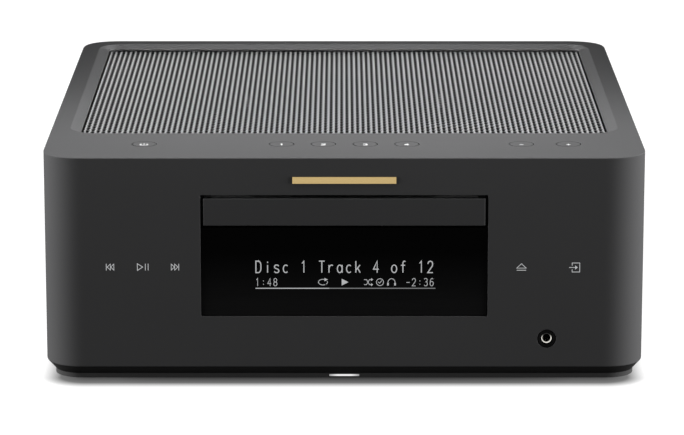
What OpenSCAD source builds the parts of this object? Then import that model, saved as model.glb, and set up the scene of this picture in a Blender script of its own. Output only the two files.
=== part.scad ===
// Compact disc receiver: cabinet, disc loader, controls, electronics and sockets.
// X runs to the right, Y to the back, Z up. Module y values are measured back from the front face.

/* [Cabinet] */
// cabinet width
cab_w = 280; // [272:1:310]
// cabinet depth, front face to back face
cab_d = 300; // [288:1:330]
// cabinet height, underside to top face
cab_h = 99.8; // [98:0.2:108]
// radius of the four upright corners
corner_r = 17; // [15:1:26]
// side, front and back wall thickness
wall_t = 3; // [2.6:0.2:3.4]
// top plate thickness
top_t = 3; // [2.6:0.2:3.4]
// width of the flange under the cabinet, from the outside
flange_w = 14; // [13:0.5:16]
// thickness of that flange
flange_t = 2.3; // [2:0.1:3]

/* [Base] */
// foot height, floor to plinth
foot_h = 5; // [4:0.5:9]
// foot diameter
foot_d = 26; // [18:1:32]
// foot centre from the cabinet side
foot_in_x = 35; // [30:1:45]
// foot centre from the front and back faces
foot_in_y = 38; // [32:1:45]
// diameter of the stud that holds a foot
foot_stud_d = 6; // [4:0.5:8]
// plinth lip thickness
lip_h = 2.2; // [2:0.1:3.2]
// plinth lip set back from the cabinet sides
lip_in = 4.2; // [3.6:0.2:6]
// height of the tapered skirt above the lip
skirt_h = 4; // [3:0.5:6]
// skirt set back from the cabinet sides, at its top
skirt_in = 0.6; // [0.4:0.1:1.5]
// inside of the skirt from the cabinet sides
ring_in = 12; // [11:0.5:13]
// screw centre from the cabinet sides
screw_in = 17; // [16:0.5:19]
// diameter of the screw bosses
boss_d = 9; // [8:0.5:11]
// height of the screw bosses
boss_h = 18; // [14:1:24]
// closed end of the screw bosses
boss_cap = 2; // [1:0.5:4]
// screw diameter
screw_d = 3; // [2.5:0.1:3.5]
// screw head diameter
screw_head_d = 5.6; // [5:0.1:6.2]
// screw head height
screw_head_h = 1.8; // [1.4:0.1:1.9]
// light bar width
light_w = 14; // [8:1:24]
// light bar height
light_h = 1.5; // [1:0.1:1.6]
// light bar depth
light_d = 8; // [5:0.5:12]
// number of vent slots in each row of the plinth floor
base_vents = 7; // [3:1:9]
// vent slot width
base_vent_w = 3; // [2:0.5:4]
// vent slot length
base_vent_l = 32; // [20:1:40]
// spacing of the vent slots
base_vent_pitch = 7; // [6:0.5:7.5]
// vent row centres in from the main board edges
base_vent_in = 64; // [50:1:70]

/* [Top recess] */
// front face to the front edge of the recess
rim_front = 56; // [50:1:60]
// side and back rail width
rail_w = 9; // [8.5:0.5:12]
// horizontal run of the sloped recess walls
recess_run = 6; // [4:0.5:8]
// height of the sloped recess walls
recess_h = 2.5; // [1.5:0.1:2.5]
// corner radius of the recess at the top face
recess_r = 14; // [10:1:18]
// grille plate thickness
grille_t = 1.2; // [0.8:0.1:2]
// grille overlap under the top plate
grille_lap = 4; // [2:0.5:4.5]
// grille slot spacing
grille_pitch = 2.6; // [2.6:0.1:4]
// share of the spacing that is open
grille_open = 0.5; // [0.35:0.05:0.6]
// rows of slots from front to back
grille_rows = 3; // [2:1:3]
// width of the webs between rows
grille_web = 3; // [2:0.5:6]

/* [Front] */
// width of the opening for the tray and the display
opening_w = 133.2; // [132.8:0.1:134]
// top face down to the opening
opening_drop = 17.55; // [16:0.05:19]
// opening height
opening_h = 57.85; // [54:0.05:62]
// gap above the tray front
face_gap_top = 1.65; // [1:0.05:2.2]
// gap at each side of the tray front
face_gap_side = 1.45; // [1:0.05:1.6]
// gap below the tray front
face_gap_low = 0.9; // [0.6:0.05:1.2]
// tray front height
face_h = 12.9; // [12.5:0.1:13.5]
// display panel set back from the front face
window_in = 0.4; // [0.2:0.1:1]
// clearance around the display panel
window_gap = 0.3; // [0.1:0.05:0.5]
// subframe overlap around the opening
subframe_lap = 5; // [3:0.5:5]
// subframe thickness
subframe_t = 2; // [1.5:0.1:2.5]
// display module width
display_w = 92; // [80:1:100]
// display module height
display_h = 28; // [22:1:30]
// display module thickness
display_t = 3.2; // [2.6:0.1:3.6]
// height of the display centre above the opening
display_up = 20; // [18:0.5:21]
// display board margin around the module
display_board_lap = 4; // [2:0.5:5]
// thickness of all circuit boards
board_t = 1.6; // [1:0.1:2]
// touch board height
touch_h = 22; // [16:1:26]
// touch board clear of the subframe
touch_in = 2.4; // [1.5:0.1:4]
// touch board clear of the rounded corner
touch_out = 2; // [1:0.1:4]
// touch board centre below the top face
touch_drop = 51.6; // [48:0.1:56]
// headphone socket centre from the cabinet side
jack_side = 45.8; // [42:0.1:55]
// headphone socket height above the cabinet underside
jack_up = 13.7; // [12.5:0.1:18]
// headphone collar diameter
jack_collar_d = 8.6; // [8:0.1:10]
// headphone body size
jack_body = 11; // [11:0.5:12]
// headphone body length behind the front wall
jack_body_l = 15; // [14:0.5:20]
// metal sleeve outer diameter
sleeve_d = 4.8; // [4.6:0.1:6]
// metal sleeve bore diameter
sleeve_bore = 3.6; // [3.55:0.05:3.8]
// metal sleeve length
sleeve_l = 14; // [12:0.5:14]
// nameplate width
name_w = 48; // [30:1:60]
// nameplate height
name_h = 3.2; // [2:0.1:5]
// nameplate centre below the top face
name_drop = 10.5; // [8:0.1:12]
// nameplate thickness
name_t = 0.8; // [0.6:0.1:1.2]
// how far the nameplate stands out of the front face
name_proud = 0.3; // [0.1:0.1:0.5]

/* [Buttons] */
// button diameter
button_d = 11; // [9:0.1:12]
// gap around a button
button_gap = 0.45; // [0.3:0.05:0.6]
// button centre behind the front face
button_in = 31; // [28:0.5:33]
// power button centre from the cabinet side
power_side = 46.2; // [42:0.1:52]
// spacing of the preset buttons
preset_pitch = 19.55; // [18:0.05:21]
// volume up button centre from the cabinet side
vol_side = 35; // [34:0.1:36]
// spacing of the volume buttons
vol_pitch = 22; // [21:0.1:23]
// how far the retaining flange is wider than the button, each side
button_flange = 1.6; // [1.2:0.1:2]
// thickness of the retaining flange
button_flange_t = 1.2; // [1:0.1:2]
// play between the flange and the top plate
button_play = 0.2; // [0.1:0.05:0.3]
// diameter of the button stem
button_stem_d = 4; // [3:0.5:6]
// stem length below the flange
button_stem_l = 2; // [1.5:0.1:3]
// button travel
button_travel = 0.8; // [0.4:0.1:1]
// switch body size
switch_w = 6; // [5:0.5:7]
// switch body height
switch_h = 3.4; // [2.5:0.1:4]
// switch plunger diameter
plunger_d = 3.4; // [2.5:0.1:4]
// switch plunger height
plunger_h = 0.9; // [0.6:0.1:1.5]
// key board ends from the cabinet sides
key_board_side = 17; // [15:0.5:17]
// key board depth
key_board_d = 18; // [14:1:20]
// outer key board posts from the cabinet sides
key_post_side = 22; // [21:0.5:23]
// inner key board posts from the volume down button
key_post_gap = 23; // [17:0.5:33]
// key board post diameter
key_post_d = 6; // [5:0.5:7]
// key board pin diameter
key_pin_d = 2.4; // [2:0.1:3]
// length of the key board pins below the board
key_pin_l = 1; // [0.5:0.1:2]

/* [Disc tray] */
// disc bed below the top face
bed_drop = 26.5; // [26.3:0.1:26.8]
// tray width
tray_w = 129; // [127:0.5:129.5]
// tray end behind the front face
tray_end = 172; // [168:1:176]
// disc centre behind the front face
disc_in = 68.5; // [67.5:0.5:69]
// disc well diameter
well_d = 121; // [120.6:0.2:122]
// disc well depth
well_h = 2.5; // [1.8:0.1:2.6]
// small disc well diameter
small_well_d = 81; // [80.6:0.2:82]
// small disc well depth below the bed
small_well_h = 0.8; // [0.4:0.1:1]
// tray floor thickness under the bed
tray_floor = 2; // [1.6:0.1:2]
// width of the slot for the turntable and the pickup
slot_w = 44; // [40:0.5:46]
// thickness of the upstand behind the tray front
upstand_t = 2.5; // [2:0.1:3]
// top of the upstand below the top of the tray front
upstand_drop = 2; // [1:0.1:3]
// tray travel
tray_travel = 130; // [100:1:131]

/* [Loader frame] */
// inside width between the side walls
chassis_in_w = 131; // [130.6:0.1:131.4]
// side wall thickness
chassis_t = 3; // [2.5:0.1:3.5]
// front end of the side walls
chassis_front = 8.6; // [8:0.1:9]
// rear end of the side walls
chassis_end = 205; // [203:1:208]
// side wall bottom below the bed
chassis_low = 35; // [34:0.5:36]
// side wall top above the bed
chassis_up = 6.9; // [6.5:0.1:7.5]
// width of the tray ledges
ledge_w = 4.5; // [3:0.1:5]
// thickness of the tray ledges
ledge_t = 3; // [2:0.1:3.2]
// width of the hold-down ribs
rib_w = 3; // [2:0.1:3.5]
// thickness of the hold-down ribs
rib_t = 1.9; // [1.2:0.1:2.2]
// front end of the deck that carries the gears
deck_front = 10; // [9.5:0.1:10.5]
// rear end of that deck
deck_end = 43.5; // [43.5:0.1:44]
// deck top below the bed
deck_drop = 12; // [11.8:0.1:12.2]
// deck thickness
deck_t = 2; // [1.5:0.1:2.2]
// thickness of the crossbar in front of the cam slider
crossbar_t = 4.5; // [3:0.1:4.6]
// shelf thickness under the cam slider
shelf_t = 1.85; // [1.5:0.05:2.2]
// height of the lip behind the cam slider
hook_h = 2; // [1:0.1:2.2]
// thickness of that lip
hook_t = 1.3; // [1:0.1:1.4]
// depth of the rear crossbar
rear_bar_d = 19; // [17:0.5:20]
// height of the rear crossbar
rear_bar_h = 6.5; // [5:0.1:7]
// width of each pivot block
pivot_block_w = 6.4; // [5:0.1:8]
// depth of each pivot block
pivot_block_d = 14; // [12:0.5:15]
// pivot block height above the pivot
pivot_block_up = 6; // [5:0.5:7]
// length of the loader brackets
bracket_l = 140; // [100:1:150]
// front end of the loader brackets
bracket_front = 50; // [46:1:54]
// loader bracket sheet thickness
bracket_t = 1.5; // [1:0.1:2]
// width of the bracket flanges
bracket_flange = 8; // [6:0.5:9]
// clamp bridge thickness
bridge_t = 1.2; // [1:0.1:1.4]
// clamp bridge depth
bridge_d = 37; // [35:0.5:40]
// height of the turned-up bridge edges
bridge_edge = 3; // [2:0.1:4]
// hole in the clamp bridge
bridge_hole_d = 23; // [22.4:0.1:24]

/* [Tray drive] */
// pitch diameter of the drive gear
drive_pitch_d = 24; // [24:0.1:24.2]
// teeth of the drive gear
drive_teeth = 24; // [24:1:24]
// teeth of the pinion
pinion_teeth = 12; // [12:1:12]
// pressure angle
gear_angle = 20; // [20:0.5:22]
// tooth height above the pitch line
gear_add = 0.8; // [0.7:0.02:0.8]
// tooth depth below the pitch line
gear_ded = 1.1; // [1.05:0.01:1.15]
// thinning of each tooth for backlash
gear_slack = 0.18; // [0.14:0.01:0.24]
// drive gear centre from the middle
drive_x = 43; // [42.5:0.1:43.5]
// drive gear centre behind the front face
drive_in = 30; // [29.5:0.1:30.2]
// tooth width of the gears
gear_face = 3.2; // [2.4:0.1:3.4]
// gear top below the tray floor
gear_below = 0.5; // [0.4:0.1:0.8]
// rack height
rack_h = 4; // [3.4:0.1:4]
// rack body width behind the teeth
rack_back = 3.9; // [2.5:0.1:4]
// drive gear hub diameter
drive_hub_d = 8; // [7:0.1:8.4]
// drive gear post diameter
drive_post_d = 4; // [3:0.1:5]
// pulley post diameter
pulley_post_d = 3; // [2.5:0.1:4]
// belt seat diameter of the large pulley
pulley_seat_d = 24; // [22:0.1:24]
// flange height of the pulleys above the belt seat
pulley_flange = 1; // [0.8:0.1:1.1]
// width of the pulleys
pulley_h = 4.6; // [4.2:0.1:4.8]
// belt seat diameter of the motor pulley
motor_seat_d = 6; // [5:0.1:8]
// belt width
belt_w = 1.8; // [1.4:0.1:1.9]
// belt thickness
belt_t = 0.9; // [0.7:0.05:0.9]
// belt groove width
belt_groove = 2.2; // [2.1:0.1:2.4]
// motor centre from the middle
motor_x = 14; // [12:0.5:20]
// motor centre behind the front face
motor_in = 22; // [21.8:0.1:22]
// motor diameter
motor_d = 24; // [22:0.1:24]
// motor length
motor_l = 20; // [18:0.5:21]
// motor shaft diameter
motor_shaft_d = 2; // [1.5:0.1:2.5]
// motor nose diameter
motor_nose_d = 6; // [5:0.1:7]

/* [Traverse] */
// pivot and lift pins below the bed
pivot_drop = 19.5; // [19.2:0.1:19.8]
// pivot in front of the rear end of the loader side walls
pivot_back = 10; // [9:0.5:11]
// pivot pin diameter
pivot_d = 5; // [4:0.1:6]
// traverse plate width
trav_w = 72; // [70:0.5:73]
// traverse plate thickness
trav_t = 3; // [2.6:0.1:3.4]
// traverse front edge behind the front face
trav_front = 45; // [44.8:0.1:46]
// traverse rear edge beyond the pivot
trav_tail = 4; // [3.5:0.1:5]
// width of the opening in the traverse plate
trav_open_w = 40; // [34:0.5:42]
// front end of that opening
trav_open_front = 84; // [83:0.5:86]
// length of that opening
trav_open_l = 62; // [50:0.5:64]
// how far the traverse tips down, in degrees
lower_deg = 3.2; // [2.6:0.1:3.3]
// lift pin diameter
lift_pin_d = 4; // [3:0.1:4.5]
// lift pins from the middle
lift_pin_x = 28; // [26:0.5:30]
// cam slider thickness
cam_t = 3; // [2.5:0.1:3]
// cam slider travel
cam_travel = 20; // [18:0.5:20]
// cam slider length beyond its slots
cam_end = 8; // [5:0.5:9]

/* [Turntable] */
// turntable height above the bed
table_up = 1.8; // [1.4:0.1:1.8]
// turntable diameter
table_d = 30; // [28:0.5:32]
// turntable thickness
table_t = 2; // [1.5:0.1:2.2]
// centring cone diameter at its foot
cone_d = 14.8; // [14.4:0.1:14.9]
// centring cone diameter at its top
cone_top_d = 10; // [8:0.1:11]
// centring cone height
cone_h = 2.5; // [2:0.1:2.5]
// turntable hub diameter
hub_d = 8; // [6:0.1:10]
// turntable hub height
hub_h = 3.6; // [3:0.1:3.8]
// spindle shaft diameter
spindle_d = 3; // [2:0.1:4]
// depth of the shaft in the motor
spindle_in = 5; // [4:0.1:7]
// spindle motor diameter
spin_motor_d = 24; // [22:0.1:24.4]
// spindle motor height
spin_motor_h = 13; // [11:0.1:13.2]
// clamp puck diameter
puck_d = 30; // [26:0.5:31]
// clamp puck height above the tray rim
puck_up = 0.4; // [0.3:0.05:0.5]
// clamp puck thickness
puck_t = 3; // [2.8:0.1:3.2]
// recess under the clamp puck, diameter
puck_recess_d = 19; // [18:0.1:20]
// recess under the clamp puck, depth
puck_recess_h = 1.7; // [1.6:0.05:1.8]
// clamp puck neck diameter
puck_neck_d = 21; // [20:0.1:21.6]
// clamp puck flange diameter
puck_flange_d = 28; // [26:0.5:30]
// clamp puck flange thickness
puck_flange_t = 1.6; // [1.2:0.1:2]

/* [Pickup] */
// lens behind the disc centre, at the inner track
lens_in = 23; // [22.5:0.1:24]
// pickup travel
sled_travel = 35; // [30:0.5:35]
// pickup body width
sled_w = 34; // [30:0.5:35]
// pickup body length
sled_l = 26; // [24:0.5:27]
// pickup body height
sled_h = 9; // [8.6:0.1:9.4]
// lens centre behind the front of the pickup body
lens_back = 9.5; // [9:0.1:9.8]
// width of the lens housing
lens_house_w = 22; // [18:0.5:24]
// length of the lens housing
lens_house_l = 16; // [14:0.5:16]
// height of the lens housing
lens_house_h = 5; // [4:0.1:5]
// lens diameter
lens_d = 6; // [5:0.1:7]
// lens height
lens_h = 0.8; // [0.5:0.1:0.9]
// guide rod diameter
rod_d = 3; // [2.5:0.1:3.4]
// guide rods from the middle
rod_x = 22; // [21.6:0.1:22.4]
// guide rods above the pivot
rod_up = 9.5; // [9.3:0.1:9.7]
// leadscrew beside its guide rod
screw_gap = 6; // [5.6:0.1:6.4]
// leadscrew diameter
leadscrew_d = 3; // [2.4:0.1:3.2]
// depth of the leadscrew in its motor
leadscrew_in = 3; // [2:0.5:5]
// pickup ear length
ear_l = 12; // [10:0.5:14]
// pickup ear height
ear_h = 7; // [6:0.1:7.4]
// material around the pickup bores
ear_wall = 2; // [1.6:0.1:2.2]
// front rod posts behind the front face
rod_front = 74; // [73:0.5:74.5]
// thickness of the rod posts
rod_post_t = 4; // [3:0.1:4.5]
// clear length between the rod posts
rod_span = 74; // [73:0.5:78]
// sled motor diameter
sled_motor_d = 12; // [10:0.1:13]
// sled motor length
sled_motor_l = 18; // [14:0.5:22]

/* [Boards] */
// board height above the plinth floor
board_up = 10.8; // [9:0.1:14]
// diameter of the board pillars
pillar_d = 7; // [6:0.5:8]
// main board width
main_w = 118; // [104:1:124]
// main board front edge behind the front face
main_front = 92; // [85:1:100]
// main board rear edge from the back face
main_back = 16; // [15.5:0.5:20]
// pillars in from the board edges
pillar_in = 8; // [6:0.5:10]
// side boards from the middle
side_x = 79; // [78.5:0.5:80]
// side boards clear of the side walls
side_gap = 7; // [5:0.5:8]
// side boards front edge behind the front face
side_front = 80; // [70:1:90]
// side boards rear edge from the back face
side_back = 34; // [30:1:40]
// chip size on the main board
chip_w = 18; // [14:0.5:20]
// gap between the two chips
chip_gap = 18; // [10:0.5:24]
// chips in from the front edge of the main board
chip_in = 18; // [14:0.5:24]
// chip height
chip_h = 2.4; // [1:0.1:4]
// shield can length on the main board
can_l = 34; // [26:1:38]
// shield can height
can_h = 5; // [3:0.1:8]
// shield can in from the rear edge of the main board
can_in = 68; // [50:1:80]
// transformer core width
core_w = 34; // [28:1:36]
// transformer core length
core_l = 40; // [34:1:44]
// transformer core height
core_h = 30; // [24:1:34]
// transformer winding beyond the core, each end
winding_out = 5; // [3:0.5:6]
// capacitor diameter
cap_d = 20; // [16:0.5:22]
// capacitor height
cap_h = 34; // [26:1:40]
// capacitor spacing
cap_pitch = 24; // [23:0.5:26]
// heat sink length
sink_l = 110; // [80:1:120]
// heat sink base thickness
sink_base_t = 4; // [3:0.5:6]
// heat sink fin height
sink_fin_h = 40; // [24:1:48]
// heat sink fin thickness
sink_fin_t = 1.8; // [1.4:0.1:2.4]
// number of heat sink fins
sink_fins = 8; // [5:1:9]

/* [Rear] */
// back opening from the cabinet sides
back_side = 34; // [33:0.5:36]
// back opening above the cabinet underside
back_up = 7; // [6.5:0.5:8]
// back opening below the top face
back_drop = 11; // [10:0.5:12]
// rear panel thickness
panel_t = 1.5; // [1:0.1:2]
// rear panel overlap at the sides and the top
panel_lap = 5; // [4:0.5:5.5]
// rear panel overlap at the bottom
panel_low = 3; // [2:0.1:4]
// panel screw height above the cabinet underside
panel_screw_up = 19; // [16:1:24]
// panel screw height below the top face
panel_screw_drop = 23; // [18:1:30]
// vent slots in the rear panel
panel_vents = 18; // [8:1:22]
// rear vent slot width
panel_vent_w = 2.6; // [2:0.1:3]
// rear vent slot height
panel_vent_h = 16; // [10:1:18]
// rear vent slot spacing
panel_vent_pitch = 6; // [5:0.1:6.4]
// rear vents below the top face
panel_vent_drop = 20; // [18:0.5:22]
// how far the terminals stand out of the back face
post_out = 12; // [10:0.5:16]
// mains inlet centre in from the side of the back opening
inlet_side = 16; // [15:0.5:19]
// mains inlet above the cabinet underside
inlet_up = 26; // [24:1:34]
// mains inlet flange width
inlet_w = 27; // [26:0.5:28]
// mains inlet flange height
inlet_h = 20; // [18:0.5:24]
// mains inlet body width
inlet_body_w = 20; // [19:0.5:22]
// mains inlet body height
inlet_body_h = 13; // [12:0.5:15]
// mains inlet flange thickness
inlet_t = 2.5; // [2:0.1:4]
// mains inlet body depth
inlet_d = 15; // [14:0.5:18]
// mains inlet hollow depth
inlet_hollow = 11; // [9:0.5:12]
// radius of each end of the inlet hollow
inlet_hollow_r = 3.8; // [3.6:0.1:4]
// spacing of the inlet pins
inlet_pitch = 8.6; // [8.4:0.1:9]
// inlet pin diameter
inlet_pin_d = 2.4; // [2:0.1:2.6]
// inlet pin length
inlet_pin_l = 9; // [6:0.5:9]
// terminal block centre in from the side of the back opening
term_side = 40; // [36:1:44]
// terminal block centre above the cabinet underside
term_up = 35; // [34:1:44]
// terminal block width
term_w = 52; // [44:1:56]
// terminal block height
term_h = 48; // [42:1:50]
// terminal block thickness outside the panel
term_t = 4; // [3:0.5:5]
// terminal block depth inside the panel
term_in = 10; // [8:0.5:14]
// border of the terminal block on the panel
term_lap = 4; // [3:0.5:5]
// terminal spacing
term_pitch = 22; // [19:0.5:24]
// terminal post diameter
post_d = 6; // [5.6:0.1:7]
// plug bore diameter in the posts
post_bore = 4.1; // [4.05:0.05:4.4]
// plug bore depth
post_bore_l = 15; // [12:0.5:16]
// post cap diameter
post_cap_d = 13; // [11:0.5:15]
// post cap set back from the post end
post_cap_in = 1; // [0.5:0.1:2]
// grip grooves around a post cap
post_grips = 10; // [6:1:12]
// grip groove diameter
post_grip_d = 1.8; // [1:0.1:2]
// line sockets centre from the middle
line_x = 48; // [46:1:50]
// line sockets centre above the cabinet underside
line_up = 30; // [28:1:36]
// line socket spacing
line_pitch = 15; // [14:0.5:18]
// line socket barrel diameter
line_d = 8.3; // [8.2:0.1:8.4]
// line socket collar diameter
line_collar_d = 11; // [10:0.5:12]
// line socket collar thickness
line_collar_t = 1.2; // [0.8:0.1:2]
// line socket length outside the panel
line_l = 9; // [8:0.5:10]
// line socket depth inside the panel
line_in = 6; // [4:0.5:8]
// line socket hole diameter
line_hole_d = 3.4; // [3.2:0.1:4]
// network socket from the middle
lan_x = 8; // [4:1:12]
// network socket width
lan_w = 16; // [15.5:0.1:17]
// network socket height
lan_h = 13.5; // [13:0.1:15]
// network socket depth inside the panel
lan_d = 17; // [16:0.5:20]
// network socket lip outside the panel
lan_out = 1; // [0.5:0.1:2]
// network plug hollow width
lan_hollow_w = 11.8; // [11.7:0.1:12.2]
// network plug hollow height
lan_hollow_h = 8.2; // [8:0.1:8.6]
// network plug hollow depth
lan_hollow_d = 13; // [12:0.5:14]

/* [Fits] */
// radial clearance of turning and sliding shafts
run_fit = 0.05; // [0.02:0.01:0.08]
// radial clearance of fixed pins in their holes
pin_fit = 0.1; // [0.05:0.01:0.15]
// clearance of the sliding tray and the cam slider
slide_fit = 0.15; // [0.1:0.01:0.2]
// clearance of panels and sockets in their cutouts
cut_fit = 0.25; // [0.1:0.05:0.3]
// clearance of the rack over the display panel
rack_fit = 0.4; // [0.3:0.05:0.6]
// gap between loose trapped pieces
loose_fit = 0.1; // [0.05:0.01:0.15]
// gap between the traverse and its pivot blocks
side_fit = 0.6; // [0.4:0.1:0.8]

/* [Hidden] */
$fn = 64;
// overshoot of cutters and overlap of joined solids
cut = 0.5;
// heights of the cabinet
lip_top = foot_h + lip_h;
cab_z = lip_top + skirt_h;
top_z = cab_z + cab_h;
ceil_z = top_z - top_t;
// smallest corner radius of an inset plan
least_r = 2;
// front face in the shared frame, so that the whole part is centred
front_y = (name_proud - cab_d - post_out) / 2;
// top recess and grille
recess_w = cab_w - 2 * rail_w;
recess_end = cab_d - rail_w;
hole_w = recess_w - 2 * recess_run;
hole_end = recess_end - recess_run;
grille_n = floor(hole_w / grille_pitch);
grille_slot_l = (hole_end - rim_front - (grille_rows + 1) * grille_web) / grille_rows;
// front opening, tray front and display
open_z1 = top_z - opening_drop;
open_z0 = open_z1 - opening_h;
face_w = opening_w - 2 * face_gap_side;
face_z1 = open_z1 - face_gap_top;
face_z0 = face_z1 - face_h;
bed_z = top_z - bed_drop;
slab_z = bed_z - tray_floor;
rim_z = bed_z + well_h;
rack_z0 = slab_z - rack_h;
win_z0 = open_z0 + window_gap;
win_z1 = min(face_z0 - face_gap_low, rack_z0 - rack_fit);
win_w = opening_w - 2 * window_gap;
sub_w = opening_w + 2 * subframe_lap;
sub_z1 = win_z1 - window_gap;
sub_z0 = open_z0 - subframe_lap;
display_z = open_z0 + display_up;
display_y1 = wall_t + display_t;
jack_x = cab_w / 2 - jack_side;
jack_z = cab_z + jack_up;
name_z = top_z - name_drop;
touch_x0 = sub_w / 2 + touch_in;
touch_x1 = cab_w / 2 - corner_r - touch_out;
touch_z = top_z - touch_drop;
// buttons, from the top plate down to the key board
button_hole_d = button_d + 2 * button_gap;
flange_z1 = ceil_z - button_play;
flange_z0 = flange_z1 - button_flange_t;
stem_z0 = flange_z0 - button_stem_l;
plunger_z1 = stem_z0 - button_travel - loose_fit;
key_z1 = plunger_z1 - plunger_h - switch_h;
key_z0 = key_z1 - board_t;
preset_x = [for (i = [0 : 3]) (i - 1.5) * preset_pitch];
power_x = power_side - cab_w / 2;
vol_up_x = cab_w / 2 - vol_side;
vol_down_x = vol_up_x - vol_pitch;
button_x = concat([power_x], preset_x, [vol_down_x, vol_up_x]);
key_board_x = cab_w / 2 - key_board_side;
key_post_out = cab_w / 2 - key_post_side;
key_post_in = vol_down_x - key_post_gap;
key_post_x = [-key_post_out, -key_post_in, key_post_in, key_post_out];
// loader frame
ch_x = chassis_in_w / 2;
ch_z0 = bed_z - chassis_low;
ch_z1 = bed_z + chassis_up;
ch_out = ch_x + chassis_t;
ledge_z1 = slab_z - slide_fit;
rib_z0 = rim_z + slide_fit;
deck_z1 = bed_z - deck_drop;
deck_z0 = deck_z1 - deck_t;
cam_y1 = deck_end - hook_t - slide_fit;
cam_y0 = cam_y1 - cam_t;
cam_z0 = ch_z0 + shelf_t + slide_fit;
cam_z1 = deck_z0 - slide_fit;
bar_y1 = cam_y0 - slide_fit;
bar_y0 = bar_y1 - crossbar_t;
// tray drive
gear_m = drive_pitch_d / drive_teeth;
drive_r = drive_pitch_d / 2;
pinion_r = gear_m * pinion_teeth / 2;
drive_c = [-drive_x, drive_in];
pulley_c = [-drive_x + drive_r + pinion_r, drive_in];
motor_c = [motor_x, motor_in];
rack_x = -drive_x - drive_r;
rack_step = PI * gear_m;
rack_teeth = ceil(tray_travel / rack_step) + 2;
// plain rack beyond its end teeth, in tooth steps
rack_spare = 0.2;
gear_z1 = slab_z - gear_below;
gear_z0 = gear_z1 - gear_face;
post_z1 = gear_z1 + slide_fit;
pulley_z0 = deck_z1 + 2 * slide_fit;
pulley_z1 = pulley_z0 + pulley_h;
belt_z = pulley_z0 + pulley_h / 2;
belt_steps = 30;
// traverse
pivot_in = chassis_end - pivot_back;
piv_z = bed_z - pivot_drop;
trav_z1 = piv_z + trav_t / 2;
trav_z0 = piv_z - trav_t / 2;
pivot_x0 = trav_w / 2 + side_fit;
pivot_x1 = pivot_x0 + pivot_block_w;
lift_pin_y = cam_y0 + slide_fit;
lift_drop = (pivot_in - (cam_y0 + cam_t / 2)) * sin(lower_deg);
spin_motor_z1 = trav_z1 + spin_motor_h;
table_z = bed_z + table_up;
hub_z1 = table_z - table_t;
hub_z0 = hub_z1 - hub_h;
puck_z0 = rim_z + puck_up;
puck_flange_z = ch_z1 + bridge_t + loose_fit;
// pickup
rod_z = piv_z + rod_up;
lens_y = disc_in + lens_in;
sled_y0 = lens_y - lens_back;
sled_z1 = rod_z + sled_h / 2;
ear_y0 = sled_y0 + (sled_l - ear_l) / 2;
screw_x = rod_x + screw_gap;
rod_back = rod_front + rod_post_t + rod_span;
rod_end = rod_back + rod_post_t;
post_half = rod_d / 2 + ear_wall;
// boards
board_z0 = lip_top + board_up;
board_z1 = board_z0 + board_t;
main_y1 = cab_d - main_back;
side_x1 = cab_w / 2 - wall_t - side_gap;
side_mid = (side_x + side_x1) / 2;
side_y1 = cab_d - side_back;
// rear
panel_y1 = cab_d - wall_t;
panel_y0 = panel_y1 - panel_t;
back_z0 = cab_z + back_up;
back_z1 = top_z - back_drop;
back_x = cab_w / 2 - back_side;
panel_x = back_x + panel_lap;
panel_screw_x = back_x + panel_lap / 2;
inlet_x = inlet_side - back_x;
term_x = back_x - term_side;
panel_screw_z = [cab_z + panel_screw_up, top_z - panel_screw_drop];
inlet_z = cab_z + inlet_up;
term_z = cab_z + term_up;
term_y1 = panel_y1 + term_t;
line_z = cab_z + line_up;
post_end = cab_d + post_out;

// plain solids
module from_front() {
  translate([0, front_y, 0]) children();
}

module block(x0, x1, y0, y1, z0, z1) {
  translate([x0, y0, z0]) cube([x1 - x0, y1 - y0, z1 - z0]);
}

module disc_z(x, y, z0, z1, d) {
  translate([x, y, z0]) cylinder(d = d, h = z1 - z0);
}

module disc_y(x, z, y0, y1, d) {
  translate([x, y0, z]) rotate([-90, 0, 0]) cylinder(d = d, h = y1 - y0);
}

module disc_x(y, z, x0, x1, d) {
  translate([x0, y, z]) rotate([0, 90, 0]) cylinder(d = d, h = x1 - x0);
}

module round_rect(w, d, r) {
  square([w - 2 * r, d], center = true);
  square([w, d - 2 * r], center = true);
  for (sx = [-1, 1], sy = [-1, 1])
    translate([sx * (w / 2 - r), sy * (d / 2 - r)]) circle(r = r);
}

// cabinet plan, set in from the outside
module plan(inset, z0, z1) {
  translate([0, cab_d / 2, z0])
    linear_extrude(z1 - z0)
      round_rect(cab_w - 2 * inset, cab_d - 2 * inset, max(corner_r - inset, least_r));
}

// the same plan with sloped sides, from one inset to another
module taper(in0, z0, in1, z1) {
  half = cab_w / 2;
  for (sx = [-1, 1], y = [corner_r, cab_d - corner_r])
    translate([sx * (half - corner_r), y, z0])
      cylinder(h = z1 - z0, r1 = corner_r - in0, r2 = corner_r - in1);
  translate([-half + corner_r, 0, 0])
    rotate([90, 0, 90])
      linear_extrude(cab_w - 2 * corner_r)
        polygon([[in0, z0], [cab_d - in0, z0], [cab_d - in1, z1], [in1, z1]]);
  translate([0, cab_d - corner_r, 0])
    rotate([90, 0, 0])
      linear_extrude(cab_d - 2 * corner_r)
        polygon([[-half + in0, z0], [half - in0, z0], [half - in1, z1], [-half + in1, z1]]);
}

module at_screws() {
  for (sx = [-1, 1], y = [screw_in, cab_d - screw_in])
    translate([sx * (cab_w / 2 - screw_in), y, 0]) children();
}

module at_feet() {
  for (sx = [-1, 1], y = [foot_in_y, cab_d - foot_in_y])
    translate([sx * (cab_w / 2 - foot_in_x), y, 0]) children();
}

module at_terminals(i) {
  sx = i % 2 == 0 ? -1 : 1;
  sz = i < 2 ? -1 : 1;
  translate([term_x + sx * term_pitch / 2, 0, term_z + sz * term_pitch / 2]) children();
}

module at_lines() {
  for (sx = [-1, 1], sz = [-1, 1])
    translate([-line_x + sx * line_pitch / 2, 0, line_z + sz * line_pitch / 2]) children();
}

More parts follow.
